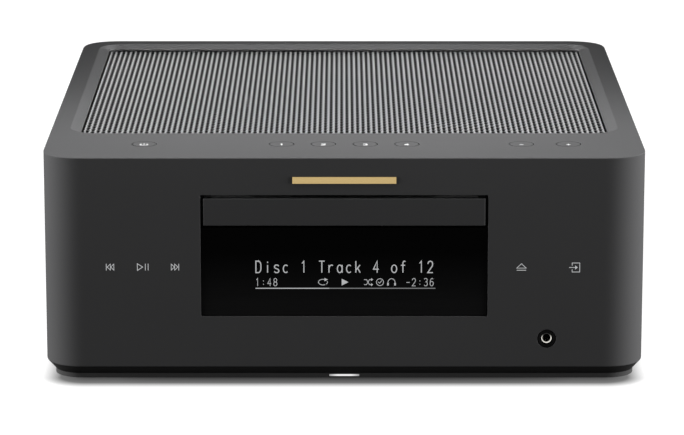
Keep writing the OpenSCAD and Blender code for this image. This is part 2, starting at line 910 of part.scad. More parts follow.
// enclosure
module corner_discs(w, y0, y1, r, z0, z1) {
  for (x = [-w / 2 + r, w / 2 - r], y = [y0 + r, y1 - r])
    translate([x, y, z0]) cylinder(r = r, h = z1 - z0, $fn = 32);
}

module recess_cutter() {
  hull() {
    corner_discs(recess_w, rim_front, recess_end, recess_r, top_z, top_z + cut);
    corner_discs(hole_w, rim_front, hole_end, recess_r - recess_run, ceil_z - cut,
      top_z - recess_h);
  }
}

module cabinet_shell() {
  color([0.16, 0.16, 0.17]) from_front() difference() {
    union() {
      difference() {
        plan(0, cab_z, top_z);
        plan(wall_t, cab_z + flange_t, ceil_z);
        plan(flange_w, cab_z - cut, cab_z + flange_t + cut);
      }
      at_screws() disc_z(0, 0, cab_z, cab_z + boss_h, boss_d);
      for (x = key_post_x) {
        disc_z(x, button_in, key_z1, ceil_z + cut, key_post_d);
        disc_z(x, button_in, key_z0 - key_pin_l, ceil_z, key_pin_d);
      }
    }
    recess_cutter();
    for (x = button_x)
      disc_z(x, button_in, ceil_z - cut, top_z + cut, button_hole_d);
    block(-opening_w / 2, opening_w / 2, -cut, wall_t + cut, open_z0, open_z1);
    block(-name_w / 2, name_w / 2, -cut, name_t - name_proud,
      name_z - name_h / 2, name_z + name_h / 2);
    disc_y(jack_x, jack_z, -cut, wall_t + cut, jack_collar_d + 2 * pin_fit);
    block(-back_x, back_x, cab_d - wall_t - cut, cab_d + cut, back_z0, back_z1);
    at_screws() disc_z(0, 0, cab_z - cut, cab_z + boss_h - boss_cap, screw_d + 2 * run_fit);
    for (sx = [-1, 1], z = panel_screw_z)
      disc_y(sx * panel_screw_x, z, cab_d - wall_t - cut, cab_d + cut, screw_d + 2 * pin_fit);
  }
}

module top_grille() {
  color([0.75, 0.75, 0.76]) from_front() translate([0, 0, ceil_z - grille_t])
    linear_extrude(grille_t) difference() {
      translate([-hole_w / 2 - grille_lap, rim_front - grille_lap])
        square([hole_w + 2 * grille_lap, hole_end - rim_front + 2 * grille_lap]);
      for (i = [0 : grille_n - 1], j = [0 : grille_rows - 1])
        translate([(i - (grille_n - 1) / 2) * grille_pitch - grille_pitch * grille_open / 2,
            rim_front + grille_web + j * (grille_slot_l + grille_web)])
          square([grille_pitch * grille_open, grille_slot_l]);
    }
}

module base_pillars() {
  for (sx = [-1, 1]) {
    for (y = [main_front + pillar_in, main_y1 - pillar_in])
      disc_z(sx * (main_w / 2 - pillar_in), y, foot_h + lip_h / 2, board_z0, pillar_d);
    for (x = [side_x + pillar_in, side_x1 - pillar_in],
         y = [side_front + pillar_in, side_y1 - pillar_in])
      disc_z(sx * x, y, foot_h + lip_h / 2, board_z0, pillar_d);
  }
}

module base_pan() {
  color([0.08, 0.08, 0.08]) from_front() difference() {
    union() {
      plan(lip_in, foot_h, lip_top);
      difference() {
        taper(lip_in, lip_top, skirt_in, cab_z);
        plan(ring_in, lip_top, cab_z + cut);
      }
      at_screws() disc_z(0, 0, foot_h + lip_h / 2, cab_z, boss_d);
      base_pillars();
    }
    at_feet() disc_z(0, 0, foot_h - cut, lip_top + cut, foot_stud_d + 2 * pin_fit);
    at_screws() disc_z(0, 0, foot_h - cut, cab_z + cut, screw_d + 2 * pin_fit);
    at_screws() disc_z(0, 0, foot_h - cut, foot_h + screw_head_h, screw_head_d + 2 * cut_fit);
    block(-light_w / 2 - loose_fit, light_w / 2 + loose_fit, lip_in - cut,
      lip_in + light_d + loose_fit, foot_h + (lip_h - light_h) / 2, foot_h + (lip_h + light_h) / 2);
    for (i = [0 : base_vents - 1], y = [main_front + base_vent_in, main_y1 - base_vent_in])
      translate([(i - (base_vents - 1) / 2) * base_vent_pitch, y, foot_h + lip_h / 2])
        cube([base_vent_w, base_vent_l, 2 * lip_h], center = true);
  }
}

module light_bar() {
  color([0.95, 0.97, 1]) from_front()
    block(-light_w / 2, light_w / 2, lip_in, lip_in + light_d,
      foot_h + (lip_h - light_h) / 2, foot_h + (lip_h + light_h) / 2);
}

module feet() {
  color([0.05, 0.05, 0.05]) from_front() at_feet() {
    disc_z(0, 0, 0, foot_h, foot_d);
    disc_z(0, 0, foot_h - cut, lip_top, foot_stud_d);
  }
}

module base_screws() {
  color([0.3, 0.3, 0.3]) from_front() at_screws() {
    disc_z(0, 0, foot_h, foot_h + screw_head_h, screw_head_d);
    disc_z(0, 0, foot_h + screw_head_h - cut, cab_z + boss_h / 2, screw_d);
  }
}

module nameplate() {
  color([0.8, 0.65, 0.35]) from_front()
    block(-name_w / 2, name_w / 2, -name_proud, name_t - name_proud,
      name_z - name_h / 2, name_z + name_h / 2);
}

// display and front controls
module display_window() {
  color([0.02, 0.02, 0.02]) from_front()
    block(-win_w / 2, win_w / 2, window_in, wall_t, win_z0, win_z1);
}

module front_subframe() {
  color([0.1, 0.1, 0.1]) from_front() difference() {
    block(-sub_w / 2, sub_w / 2, wall_t, wall_t + subframe_t, sub_z0, sub_z1);
    block(-display_w / 2 - cut_fit, display_w / 2 + cut_fit, wall_t - cut,
      wall_t + subframe_t + cut, display_z - display_h / 2 - cut_fit,
      display_z + display_h / 2 + cut_fit);
  }
}

module display_module() {
  color([0.05, 0.06, 0.08]) from_front()
    block(-display_w / 2, display_w / 2, wall_t, display_y1,
      display_z - display_h / 2, display_z + display_h / 2);
}

module display_board() {
  color([0.1, 0.3, 0.18]) from_front()
    block(-display_w / 2 - display_board_lap, display_w / 2 + display_board_lap,
      display_y1, display_y1 + board_t, display_z - display_h / 2 - display_board_lap,
      display_z + display_h / 2 + display_board_lap);
}

module touch_boards() {
  color([0.1, 0.3, 0.18]) from_front() for (x0 = [-touch_x1, touch_x0])
    block(x0, x0 + touch_x1 - touch_x0, wall_t, wall_t + board_t,
      touch_z - touch_h / 2, touch_z + touch_h / 2);
}

module headphone_jack() {
  color([0.04, 0.04, 0.04]) from_front() difference() {
    union() {
      disc_y(jack_x, jack_z, 0, wall_t + cut, jack_collar_d);
      block(jack_x - jack_body / 2, jack_x + jack_body / 2, wall_t, wall_t + jack_body_l,
        jack_z - jack_body / 2, jack_z + jack_body / 2);
    }
    disc_y(jack_x, jack_z, -cut, sleeve_l, sleeve_d + 2 * run_fit);
  }
}

module jack_sleeve() {
  color([0.8, 0.8, 0.82]) from_front() difference() {
    disc_y(jack_x, jack_z, 0, sleeve_l, sleeve_d);
    disc_y(jack_x, jack_z, -cut, sleeve_l + cut, sleeve_bore);
  }
}

module button(x) {
  color([0.18, 0.18, 0.19]) from_front() translate([x, button_in, 0]) {
    disc_z(0, 0, flange_z1 - cut, top_z, button_d);
    disc_z(0, 0, flange_z0, flange_z1, button_d + 2 * button_flange);
    disc_z(0, 0, stem_z0, flange_z0 + cut, button_stem_d);
  }
}

module power_button() { button(power_x); }

module preset_button_1() { button(preset_x[0]); }

module preset_button_2() { button(preset_x[1]); }

module preset_button_3() { button(preset_x[2]); }

module preset_button_4() { button(preset_x[3]); }

module volume_down_button() { button(vol_down_x); }

module volume_up_button() { button(vol_up_x); }

module key_board() {
  color([0.1, 0.3, 0.18]) from_front() difference() {
    block(-key_board_x, key_board_x, button_in - key_board_d / 2,
      button_in + key_board_d / 2, key_z0, key_z1);
    for (x = key_post_x)
      disc_z(x, button_in, key_z0 - cut, key_z1 + cut, key_pin_d + 2 * pin_fit);
  }
}

module key_switches() {
  color([0.12, 0.12, 0.12]) from_front() for (x = button_x) {
    block(x - switch_w / 2, x + switch_w / 2, button_in - switch_w / 2,
      button_in + switch_w / 2, key_z1, key_z1 + switch_h);
    disc_z(x, button_in, key_z1 + switch_h - cut, plunger_z1, plunger_d);
  }
}

// gears
function involute(a) = tan(a) - a * PI / 180;

function polar(r, a) = [r * cos(a), r * sin(a)];

// half angle of a tooth at radius p
function tooth_half(teeth, p) =
  let (r = gear_m * teeth / 2,
       a = acos(min(1, r * cos(gear_angle) / p)))
    90 / teeth - gear_slack / 2 / r * 180 / PI + (involute(gear_angle) - involute(a)) * 180 / PI;

function flank(teeth) =
  let (r = gear_m * teeth / 2,
       low = max(r * cos(gear_angle), r - gear_ded),
       high = r + gear_add)
    [for (i = [0 : 4]) low + (high - low) * i / 4];

function tooth_points(teeth, c) =
  let (p = flank(teeth), root = gear_m * teeth / 2 - gear_ded, h = tooth_half(teeth, p[0]))
    concat([polar(root, c - h)],
      [for (q = p) polar(q, c - tooth_half(teeth, q))],
      [for (i = [4 : -1 : 0]) polar(p[i], c + tooth_half(teeth, p[i]))],
      [polar(root, c + h)]);

module spur(teeth, phase) {
  polygon([for (i = [0 : teeth - 1]) each tooth_points(teeth, phase + i * 360 / teeth)]);
}

module rack_plan() {
  half = rack_step / 4 - gear_slack / 2;
  tip = half - gear_add * tan(gear_angle);
  foot = half + gear_ded * tan(gear_angle);
  y0 = drive_in - (1 + rack_spare) * rack_step;
  y1 = drive_in + (rack_teeth + rack_spare) * rack_step;
  root_x = rack_x - gear_ded;
  tip_x = rack_x + gear_add;
  polygon(concat([[root_x - rack_back, y0], [root_x, y0]],
    [for (i = [-1 : rack_teeth - 1]) let (c = drive_in + (i + 0.5) * rack_step)
      each [[root_x, c - foot], [tip_x, c - tip], [tip_x, c + tip], [root_x, c + foot]]],
    [[root_x, y1], [root_x - rack_back, y1]]));
}

// outline of a belt round two circles
module belt_plan(r1, r2) {
  d = motor_c - pulley_c;
  a = atan2(d[1], d[0]);
  g = acos((r1 - r2) / norm(d));
  polygon(concat(
    [for (i = [0 : belt_steps]) pulley_c + polar(r1, a + g + i * (360 - 2 * g) / belt_steps)],
    [for (i = [0 : belt_steps]) motor_c + polar(r2, a - g + i * 2 * g / belt_steps)]));
}

// disc tray and loader
module tray_front() {
  color([0.16, 0.16, 0.17]) from_front()
    block(-face_w / 2, face_w / 2, 0, wall_t, face_z0, face_z1);
}

module disc_tray() {
  color([0.1, 0.1, 0.11]) from_front() {
    difference() {
      union() {
        block(-tray_w / 2, tray_w / 2, wall_t, tray_end, slab_z, rim_z);
        block(-tray_w / 2, tray_w / 2, wall_t, wall_t + upstand_t, slab_z,
          face_z1 - upstand_drop);
      }
      disc_z(0, disc_in, bed_z, rim_z + cut, well_d);
      disc_z(0, disc_in, bed_z - small_well_h, rim_z, small_well_d);
      disc_z(0, disc_in, slab_z - cut, rim_z, slot_w);
      block(-slot_w / 2, slot_w / 2, disc_in, tray_end + cut, slab_z - cut, rim_z + cut);
    }
    translate([0, 0, rack_z0]) linear_extrude(rack_h + tray_floor / 2) rack_plan();
  }
}

module loader_chassis() {
  color([0.2, 0.2, 0.21]) from_front() difference() {
    union() {
      for (sx = [-1, 1]) scale([sx, 1, 1]) {
        block(ch_x, ch_out, chassis_front, chassis_end, ch_z0, ch_z1);
        block(ch_x - ledge_w, ch_x + cut, chassis_front, chassis_end,
          ledge_z1 - ledge_t, ledge_z1);
        block(ch_x - rib_w, ch_x + cut, chassis_front, chassis_end, rib_z0, rib_z0 + rib_t);
        block(pivot_x0, pivot_x1, pivot_in - pivot_block_d / 2, pivot_in + pivot_block_d / 2,
          ch_z0, piv_z + pivot_block_up);
      }
      block(-ch_x - cut, ch_x + cut, deck_front, deck_end, deck_z0, deck_z1);
      block(-ch_x - cut, ch_x + cut, bar_y0, bar_y1, ch_z0, deck_z1);
      block(-ch_x - cut, ch_x + cut, bar_y0, deck_end, ch_z0, ch_z0 + shelf_t);
      block(-ch_x - cut, ch_x + cut, deck_end - hook_t, deck_end, ch_z0,
        ch_z0 + shelf_t + hook_h);
      block(-ch_x - cut, ch_x + cut, chassis_end - rear_bar_d, chassis_end, ch_z0,
        ch_z0 + rear_bar_h);
      disc_z(drive_c[0], drive_c[1], deck_z1 - cut, post_z1, drive_post_d);
      disc_z(pulley_c[0], pulley_c[1], deck_z1 - cut, post_z1, pulley_post_d);
    }
    for (sx = [-1, 1]) scale([sx, 1, 1])
      disc_x(pivot_in, piv_z, pivot_x0 - cut, pivot_x1 + cut, pivot_d + 2 * run_fit);
    disc_z(motor_c[0], motor_c[1], deck_z0 - cut, deck_z1 + cut, motor_nose_d + 2 * pin_fit);
  }
}

module loader_brackets() {
  color([0.6, 0.6, 0.62]) from_front() for (sx = [-1, 1]) scale([sx, 1, 1]) {
    block(ch_out - bracket_t, ch_out, bracket_front, bracket_front + bracket_l, lip_top, ch_z0);
    block(ch_out - bracket_flange, ch_out, bracket_front, bracket_front + bracket_l,
      ch_z0 - bracket_t, ch_z0);
    block(ch_out - bracket_t, ch_out + bracket_flange, bracket_front, bracket_front + bracket_l,
      lip_top, lip_top + bracket_t);
  }
}

module loader_motor() {
  color([0.7, 0.7, 0.72]) from_front() {
    disc_z(motor_c[0], motor_c[1], deck_z0 - motor_l, deck_z0, motor_d);
    disc_z(motor_c[0], motor_c[1], deck_z0 - cut, deck_z1, motor_nose_d);
    disc_z(motor_c[0], motor_c[1], deck_z1 - cut, pulley_z1, motor_shaft_d);
  }
}

// pulley with a belt groove around its middle
module pulley(c, seat_d) {
  difference() {
    disc_z(c[0], c[1], pulley_z0, pulley_z1, seat_d + 2 * pulley_flange);
    difference() {
      disc_z(c[0], c[1], belt_z - belt_groove / 2, belt_z + belt_groove / 2,
        seat_d + 4 * pulley_flange);
      disc_z(c[0], c[1], pulley_z0, pulley_z1, seat_d);
    }
  }
}

module motor_pulley() {
  color([0.85, 0.85, 0.8]) from_front() difference() {
    pulley(motor_c, motor_seat_d);
    disc_z(motor_c[0], motor_c[1], pulley_z0 - cut, pulley_z1 + cut,
      motor_shaft_d + 2 * run_fit);
  }
}

module drive_belt() {
  color([0.03, 0.03, 0.03]) from_front() translate([0, 0, belt_z - belt_w / 2])
    linear_extrude(belt_w) difference() {
      belt_plan(pulley_seat_d / 2 + run_fit + belt_t, motor_seat_d / 2 + run_fit + belt_t);
      belt_plan(pulley_seat_d / 2 + run_fit, motor_seat_d / 2 + run_fit);
    }
}

module pulley_gear() {
  color([0.9, 0.9, 0.86]) from_front() difference() {
    union() {
      pulley(pulley_c, pulley_seat_d);
      translate([pulley_c[0], pulley_c[1], pulley_z1 - cut])
        linear_extrude(gear_z1 - pulley_z1 + cut) spur(pinion_teeth, 180 / pinion_teeth);
    }
    disc_z(pulley_c[0], pulley_c[1], pulley_z0 - cut, gear_z1 + cut,
      pulley_post_d + 2 * run_fit);
  }
}

module drive_gear() {
  color([0.9, 0.9, 0.86]) from_front() difference() {
    union() {
      translate([drive_c[0], drive_c[1], gear_z0]) linear_extrude(gear_face)
        spur(drive_teeth, 0);
      disc_z(drive_c[0], drive_c[1], deck_z1 + slide_fit, gear_z0 + cut, drive_hub_d);
    }
    disc_z(drive_c[0], drive_c[1], deck_z1, gear_z1 + cut, drive_post_d + 2 * run_fit);
  }
}

// slanted slot for a lift pin, in the x-z plane
module cam_slot_plan() {
  d = lift_pin_d + 2 * slide_fit;
  a = atan2(lift_drop, cam_travel);
  circle(d = d);
  translate([-cam_travel, -lift_drop]) circle(d = d);
  rotate(a) translate([-norm([cam_travel, lift_drop]), -d / 2])
    square([norm([cam_travel, lift_drop]), d]);
}

module cam_slider() {
  color([0.85, 0.85, 0.82]) from_front() difference() {
    block(-lift_pin_x - cam_travel - cam_end, lift_pin_x + cam_end, cam_y0, cam_y1,
      cam_z0, cam_z1);
    for (x = [-lift_pin_x, lift_pin_x])
      translate([x, cam_y1 + cut, piv_z]) rotate([90, 0, 0])
        linear_extrude(cam_t + 2 * cut) cam_slot_plan();
  }
}

module clamp_bridge() {
  color([0.65, 0.65, 0.67]) from_front() difference() {
    union() {
      block(-ch_out, ch_out, disc_in - bridge_d / 2, disc_in + bridge_d / 2,
        ch_z1, ch_z1 + bridge_t);
      block(-ch_out, ch_out, disc_in - bridge_d / 2, disc_in - bridge_d / 2 + bridge_t,
        ch_z1, ch_z1 + bridge_edge);
      block(-ch_out, ch_out, disc_in + bridge_d / 2 - bridge_t, disc_in + bridge_d / 2,
        ch_z1, ch_z1 + bridge_edge);
    }
    disc_z(0, disc_in, ch_z1 - cut, ch_z1 + bridge_t + cut, bridge_hole_d);
  }
}

module clamp_puck() {
  color([0.12, 0.12, 0.13]) from_front() difference() {
    union() {
      disc_z(0, disc_in, puck_z0, puck_z0 + puck_t, puck_d);
      disc_z(0, disc_in, puck_z0 + puck_t - cut, puck_flange_z + cut, puck_neck_d);
      disc_z(0, disc_in, puck_flange_z, puck_flange_z + puck_flange_t, puck_flange_d);
    }
    disc_z(0, disc_in, puck_z0 - cut, puck_z0 + puck_recess_h, puck_recess_d);
  }
}

// traverse and pickup
module rod_posts(y0) {
  block(-rod_x - post_half, -rod_x + post_half, y0, y0 + rod_post_t, trav_z1 - cut,
    rod_z + post_half);
  block(rod_x - post_half, screw_x + post_half, y0, y0 + rod_post_t, trav_z1 - cut,
    rod_z + post_half);
}

module traverse_frame() {
  color([0.25, 0.25, 0.26]) from_front() difference() {
    union() {
      block(-trav_w / 2, trav_w / 2, trav_front, pivot_in + trav_tail, trav_z0, trav_z1);
      rod_posts(rod_front);
      rod_posts(rod_back);
      for (sx = [-1, 1]) {
        scale([sx, 1, 1])
          disc_x(pivot_in, piv_z, trav_w / 2 - pivot_d, pivot_x1 - loose_fit, pivot_d);
        disc_y(sx * lift_pin_x, piv_z, lift_pin_y, trav_front + lift_pin_d, lift_pin_d);
      }
    }
    block(-trav_open_w / 2, trav_open_w / 2, trav_open_front, trav_open_front + trav_open_l,
      trav_z0 - cut, trav_z1 + cut);
    for (x = [-rod_x, rod_x])
      disc_y(x, rod_z, rod_front - cut, rod_end + cut, rod_d + 2 * run_fit);
    disc_y(screw_x, rod_z, rod_front - cut, rod_end + cut, leadscrew_d + 2 * run_fit);
  }
}

module spindle_motor() {
  color([0.72, 0.72, 0.74]) from_front() difference() {
    disc_z(0, disc_in, trav_z1, spin_motor_z1, spin_motor_d);
    disc_z(0, disc_in, spin_motor_z1 - spindle_in - cut, spin_motor_z1 + cut,
      spindle_d + 2 * run_fit);
  }
}

module turntable() {
  color([0.15, 0.15, 0.16]) from_front() {
    disc_z(0, disc_in, spin_motor_z1 - spindle_in, hub_z0 + cut, spindle_d);
    disc_z(0, disc_in, hub_z0, hub_z1 + cut, hub_d);
    disc_z(0, disc_in, hub_z1, table_z, table_d);
    translate([0, disc_in, table_z]) cylinder(d1 = cone_d, d2 = cone_top_d, h = cone_h);
  }
}

module pickup_sled() {
  color([0.45, 0.45, 0.48]) from_front() difference() {
    union() {
      block(-sled_w / 2, sled_w / 2, sled_y0, sled_y0 + sled_l, rod_z - sled_h / 2, sled_z1);
      block(-lens_house_w / 2, lens_house_w / 2, lens_y - lens_house_l / 2,
        lens_y + lens_house_l / 2, sled_z1 - cut, sled_z1 + lens_house_h);
      block(-rod_x - post_half, -sled_w / 2 + cut, ear_y0, ear_y0 + ear_l,
        rod_z - ear_h / 2, rod_z + ear_h / 2);
      block(sled_w / 2 - cut, screw_x + post_half, ear_y0, ear_y0 + ear_l,
        rod_z - ear_h / 2, rod_z + ear_h / 2);
    }
    for (x = [-rod_x, rod_x])
      disc_y(x, rod_z, ear_y0 - cut, ear_y0 + ear_l + cut, rod_d + 2 * run_fit);
    disc_y(screw_x, rod_z, ear_y0 - cut, ear_y0 + ear_l + cut, leadscrew_d + 2 * run_fit);
  }
}

module pickup_lens() {
  color([0.5, 0.6, 0.8]) from_front()
    disc_z(0, lens_y, sled_z1 + lens_house_h, sled_z1 + lens_house_h + lens_h, lens_d);
}

module guide_rods() {
  color([0.8, 0.8, 0.82]) from_front() for (x = [-rod_x, rod_x])
    disc_y(x, rod_z, rod_front, rod_end, rod_d);
}

module sled_motor() {
  color([0.72, 0.72, 0.74]) from_front() difference() {
    disc_y(screw_x, rod_z, rod_end, rod_end + sled_motor_l, sled_motor_d);
    disc_y(screw_x, rod_z, rod_end - cut, rod_end + leadscrew_in + cut,
      leadscrew_d + 2 * run_fit);
  }
}

module sled_leadscrew() {
  color([0.8, 0.8, 0.82]) from_front()
    disc_y(screw_x, rod_z, rod_front, rod_end + leadscrew_in, leadscrew_d);
}

// electronics
module main_board() {
  color([0.1, 0.3, 0.18]) from_front() {
    block(-main_w / 2, main_w / 2, main_front, main_y1, board_z0, board_z1);
    for (x = [-chip_gap / 2 - chip_w, chip_gap / 2])
      block(x, x + chip_w, main_front + chip_in, main_front + chip_in + chip_w,
        board_z1 - cut, board_z1 + chip_h);
    block(-can_l, 0, main_y1 - can_in - can_l, main_y1 - can_in, board_z1 - cut,
      board_z1 + can_h);
  }
}

module power_board() {
  color([0.1, 0.3, 0.18]) from_front()
    block(-side_x1, -side_x, side_front, side_y1, board_z0, board_z1);
}

module transformer() {
  color([0.3, 0.25, 0.15]) from_front() {
    block(-side_mid - core_w / 2, -side_mid + core_w / 2, side_front + pillar_in,
      side_front + pillar_in + core_l, board_z1, board_z1 + core_h);
    block(-side_mid - core_w / 2 + winding_out, -side_mid + core_w / 2 - winding_out,
      side_front + pillar_in - winding_out, side_front + pillar_in + core_l + winding_out,
      board_z1 + winding_out, board_z1 + core_h - winding_out);
  }
}

module power_capacitors() {
  color([0.1, 0.12, 0.2]) from_front() for (i = [0 : 2])
    disc_z(-side_mid, side_y1 - cap_pitch * (i + 1), board_z1, board_z1 + cap_h, cap_d);
}

module amp_board() {
  color([0.1, 0.3, 0.18]) from_front()
    block(side_x, side_x1, side_front, side_y1, board_z0, board_z1);
}

module heat_sink() {
  w = side_x1 - side_x - pillar_in;
  step = (w - sink_fin_t) / (sink_fins - 1);
  y0 = side_y1 - pillar_in - sink_l;
  color([0.35, 0.35, 0.37]) from_front() {
    block(side_mid - w / 2, side_mid + w / 2, y0, y0 + sink_l, board_z1, board_z1 + sink_base_t);
    for (i = [0 : sink_fins - 1])
      block(side_mid - w / 2 + i * step, side_mid - w / 2 + i * step + sink_fin_t, y0,
        y0 + sink_l, board_z1 + sink_base_t - cut, board_z1 + sink_base_t + sink_fin_h);
  }
}

// rear
module rear_panel() {
  color([0.12, 0.12, 0.13]) from_front() difference() {
    block(-panel_x, panel_x, panel_y0, panel_y1, back_z0 - panel_low, back_z1 + panel_lap);
    for (i = [0 : panel_vents - 1])
      translate([(i - (panel_vents - 1) / 2) * panel_vent_pitch, panel_y1,
          top_z - panel_vent_drop - panel_vent_h / 2])
        cube([panel_vent_w, 4 * panel_t, panel_vent_h], center = true);
    for (sx = [-1, 1], z = panel_screw_z)
      disc_y(sx * panel_screw_x, z, panel_y0 - cut, panel_y1 + cut, screw_d + 2 * run_fit);
    translate([inlet_x, panel_y1, inlet_z])
      cube([inlet_body_w + 2 * cut_fit, 4 * panel_t, inlet_body_h + 2 * cut_fit], center = true);
    translate([term_x, panel_y1, term_z])
      cube([term_w - 2 * term_lap + 2 * cut_fit, 4 * panel_t,
        term_h - 2 * term_lap + 2 * cut_fit], center = true);
    at_lines() disc_y(0, 0, panel_y0 - cut, panel_y1 + cut, line_d + 2 * cut_fit);
    translate([lan_x, panel_y1, board_z1 + lan_h / 2])
      cube([lan_w + 2 * cut_fit, 4 * panel_t, lan_h + 2 * cut_fit], center = true);
  }
}

module panel_screws() {
  color([0.3, 0.3, 0.3]) from_front() for (sx = [-1, 1], z = panel_screw_z) {
    disc_y(sx * panel_screw_x, z, cab_d, cab_d + screw_head_h, screw_head_d);
    disc_y(sx * panel_screw_x, z, panel_y0 - screw_d, cab_d + cut, screw_d);
  }
}

module ac_inlet() {
  color([0.05, 0.05, 0.05]) from_front() translate([inlet_x, 0, inlet_z]) {
    difference() {
      union() {
        block(-inlet_w / 2, inlet_w / 2, panel_y1, panel_y1 + inlet_t, -inlet_h / 2, inlet_h / 2);
        block(-inlet_body_w / 2, inlet_body_w / 2, panel_y1 - inlet_d, panel_y1 + cut,
          -inlet_body_h / 2, inlet_body_h / 2);
      }
      for (sx = [-1, 1])
        disc_y(sx * inlet_pitch / 2, 0, panel_y1 + inlet_t - inlet_hollow,
          panel_y1 + inlet_t + cut, 2 * inlet_hollow_r);
      block(-inlet_pitch / 2, inlet_pitch / 2, panel_y1 + inlet_t - inlet_hollow,
        panel_y1 + inlet_t + cut, -inlet_hollow_r, inlet_hollow_r);
    }
    for (sx = [-1, 1])
      disc_y(sx * inlet_pitch / 2, 0, panel_y1 + inlet_t - inlet_hollow - cut,
        panel_y1 + inlet_t - inlet_hollow + inlet_pin_l, inlet_pin_d);
  }
}

module terminal_block() {
  color([0.06, 0.06, 0.06]) from_front() difference() {
    translate([term_x, 0, term_z]) {
      block(-term_w / 2, term_w / 2, panel_y1, term_y1, -term_h / 2, term_h / 2);
      block(-term_w / 2 + term_lap, term_w / 2 - term_lap, panel_y0 - term_in, panel_y1 + cut,
        -term_h / 2 + term_lap, term_h / 2 - term_lap);
    }
    for (i = [0 : 3]) at_terminals(i)
      disc_y(0, 0, panel_y0 - term_in - cut, term_y1 + cut, post_d + 2 * run_fit);
  }
}

module terminal_posts() {
  color([0.85, 0.7, 0.35]) from_front() for (i = [0 : 3]) at_terminals(i) difference() {
    disc_y(0, 0, panel_y0 - term_in, post_end, post_d);
    disc_y(0, 0, post_end - post_bore_l, post_end + cut, post_bore);
  }
}

module post_cap(i, tint) {
  color(tint) from_front() at_terminals(i) difference() {
    disc_y(0, 0, term_y1 + loose_fit, post_end - post_cap_in, post_cap_d);
    disc_y(0, 0, term_y1, post_end, post_d + 2 * run_fit);
    for (k = [0 : post_grips - 1]) rotate([0, k * 360 / post_grips, 0])
      disc_y(post_cap_d / 2, 0, term_y1, post_end, post_grip_d);
  }
}

module post_cap_1() { post_cap(0, [0.75, 0.08, 0.08]); }

module post_cap_2() { post_cap(1, [0.05, 0.05, 0.05]); }

module post_cap_3() { post_cap(2, [0.75, 0.08, 0.08]); }

module post_cap_4() { post_cap(3, [0.05, 0.05, 0.05]); }

module line_sockets() {
  color([0.85, 0.7, 0.35]) from_front() at_lines() difference() {
    union() {
      disc_y(0, 0, panel_y1, panel_y1 + line_collar_t, line_collar_d);
      disc_y(0, 0, panel_y0 - line_in, panel_y1 + line_l, line_d);
    }
    disc_y(0, 0, panel_y1, panel_y1 + line_l + cut, line_hole_d);
  }
}

module lan_socket() {
  color([0.7, 0.7, 0.72]) from_front() translate([lan_x, 0, board_z1]) difference() {
    block(-lan_w / 2, lan_w / 2, panel_y1 - lan_d, panel_y1 + lan_out, 0, lan_h);
    block(-lan_hollow_w / 2, lan_hollow_w / 2, panel_y1 + lan_out - lan_hollow_d,
      panel_y1 + lan_out + cut, (lan_h - lan_hollow_h) / 2, (lan_h + lan_hollow_h) / 2);
  }
}

cabinet_shell();
top_grille();
base_pan();
light_bar();
feet();
base_screws();
nameplate();
display_window();
front_subframe();
display_module();
display_board();
touch_boards();
headphone_jack();
jack_sleeve();
power_button();
preset_button_1();
preset_button_2();
preset_button_3();
preset_button_4();
volume_down_button();
volume_up_button();
key_board();
key_switches();
tray_front();
disc_tray();
loader_chassis();
loader_brackets();
loader_motor();
motor_pulley();
drive_belt();
pulley_gear();
drive_gear();
cam_slider();
clamp_bridge();
clamp_puck();
traverse_frame();
spindle_motor();
turntable();
pickup_sled();
pickup_lens();
guide_rods();
sled_motor();
sled_leadscrew();
main_board();
power_board();
transformer();
power_capacitors();
amp_board();
heat_sink();
rear_panel();
panel_screws();
ac_inlet();
terminal_block();
terminal_posts();
post_cap_1();
post_cap_2();
post_cap_3();
post_cap_4();
line_sockets();
lan_socket();
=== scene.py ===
import math
import bmesh
import bpy
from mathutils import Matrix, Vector


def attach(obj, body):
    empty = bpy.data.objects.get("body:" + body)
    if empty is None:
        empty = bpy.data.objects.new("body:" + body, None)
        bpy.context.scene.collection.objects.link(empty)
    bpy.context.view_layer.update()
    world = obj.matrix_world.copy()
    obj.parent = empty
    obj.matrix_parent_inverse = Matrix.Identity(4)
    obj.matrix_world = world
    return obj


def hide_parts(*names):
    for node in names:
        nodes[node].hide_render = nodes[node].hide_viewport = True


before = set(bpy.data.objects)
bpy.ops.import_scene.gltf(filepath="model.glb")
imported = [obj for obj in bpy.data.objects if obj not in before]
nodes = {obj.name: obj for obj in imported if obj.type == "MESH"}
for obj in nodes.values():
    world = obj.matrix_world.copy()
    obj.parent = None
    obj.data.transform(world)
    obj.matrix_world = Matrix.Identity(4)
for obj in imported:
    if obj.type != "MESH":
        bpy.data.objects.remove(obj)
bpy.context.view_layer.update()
scene = bpy.context.scene
scene.view_settings.view_transform = "Standard"
mm = 0.001
print("frame loaded:", len(nodes), "solids")

# camera, fitted to the edges of the cabinet
camera = {"place": (-0.001065, -1.75506, 0.457145), "pitch": 76.8283, "lens": 187.16, "film": 36}
cameraData = bpy.data.cameras.new("camera")
cameraData.lens = camera["lens"]
cameraData.sensor_width = camera["film"]
cameraObject = bpy.data.objects.new("camera", cameraData)
cameraObject.location = camera["place"]
cameraObject.rotation_euler = (math.radians(camera["pitch"]), 0, 0)
scene.collection.objects.link(cameraObject)
scene.camera = cameraObject
print("camera set")


# finishes
noiseSpan = (0.3, 0.7)  # most of a noise pattern lies between these


def newFinish(name):
    finish = bpy.data.materials.new(name)
    finish.use_nodes = True
    tree = finish.node_tree
    return finish, tree, tree.nodes["Principled BSDF"]


# each input takes a plain value or the output of another node
def tune(node, inputs):
    for key, value in inputs.items():
        if isinstance(value, bpy.types.NodeSocket):
            node.id_data.links.new(value, node.inputs[key])
        else:
            node.inputs[key].default_value = value


def addNode(tree, kind, inputs):
    made = tree.nodes.new(kind)
    tune(made, inputs)
    return made


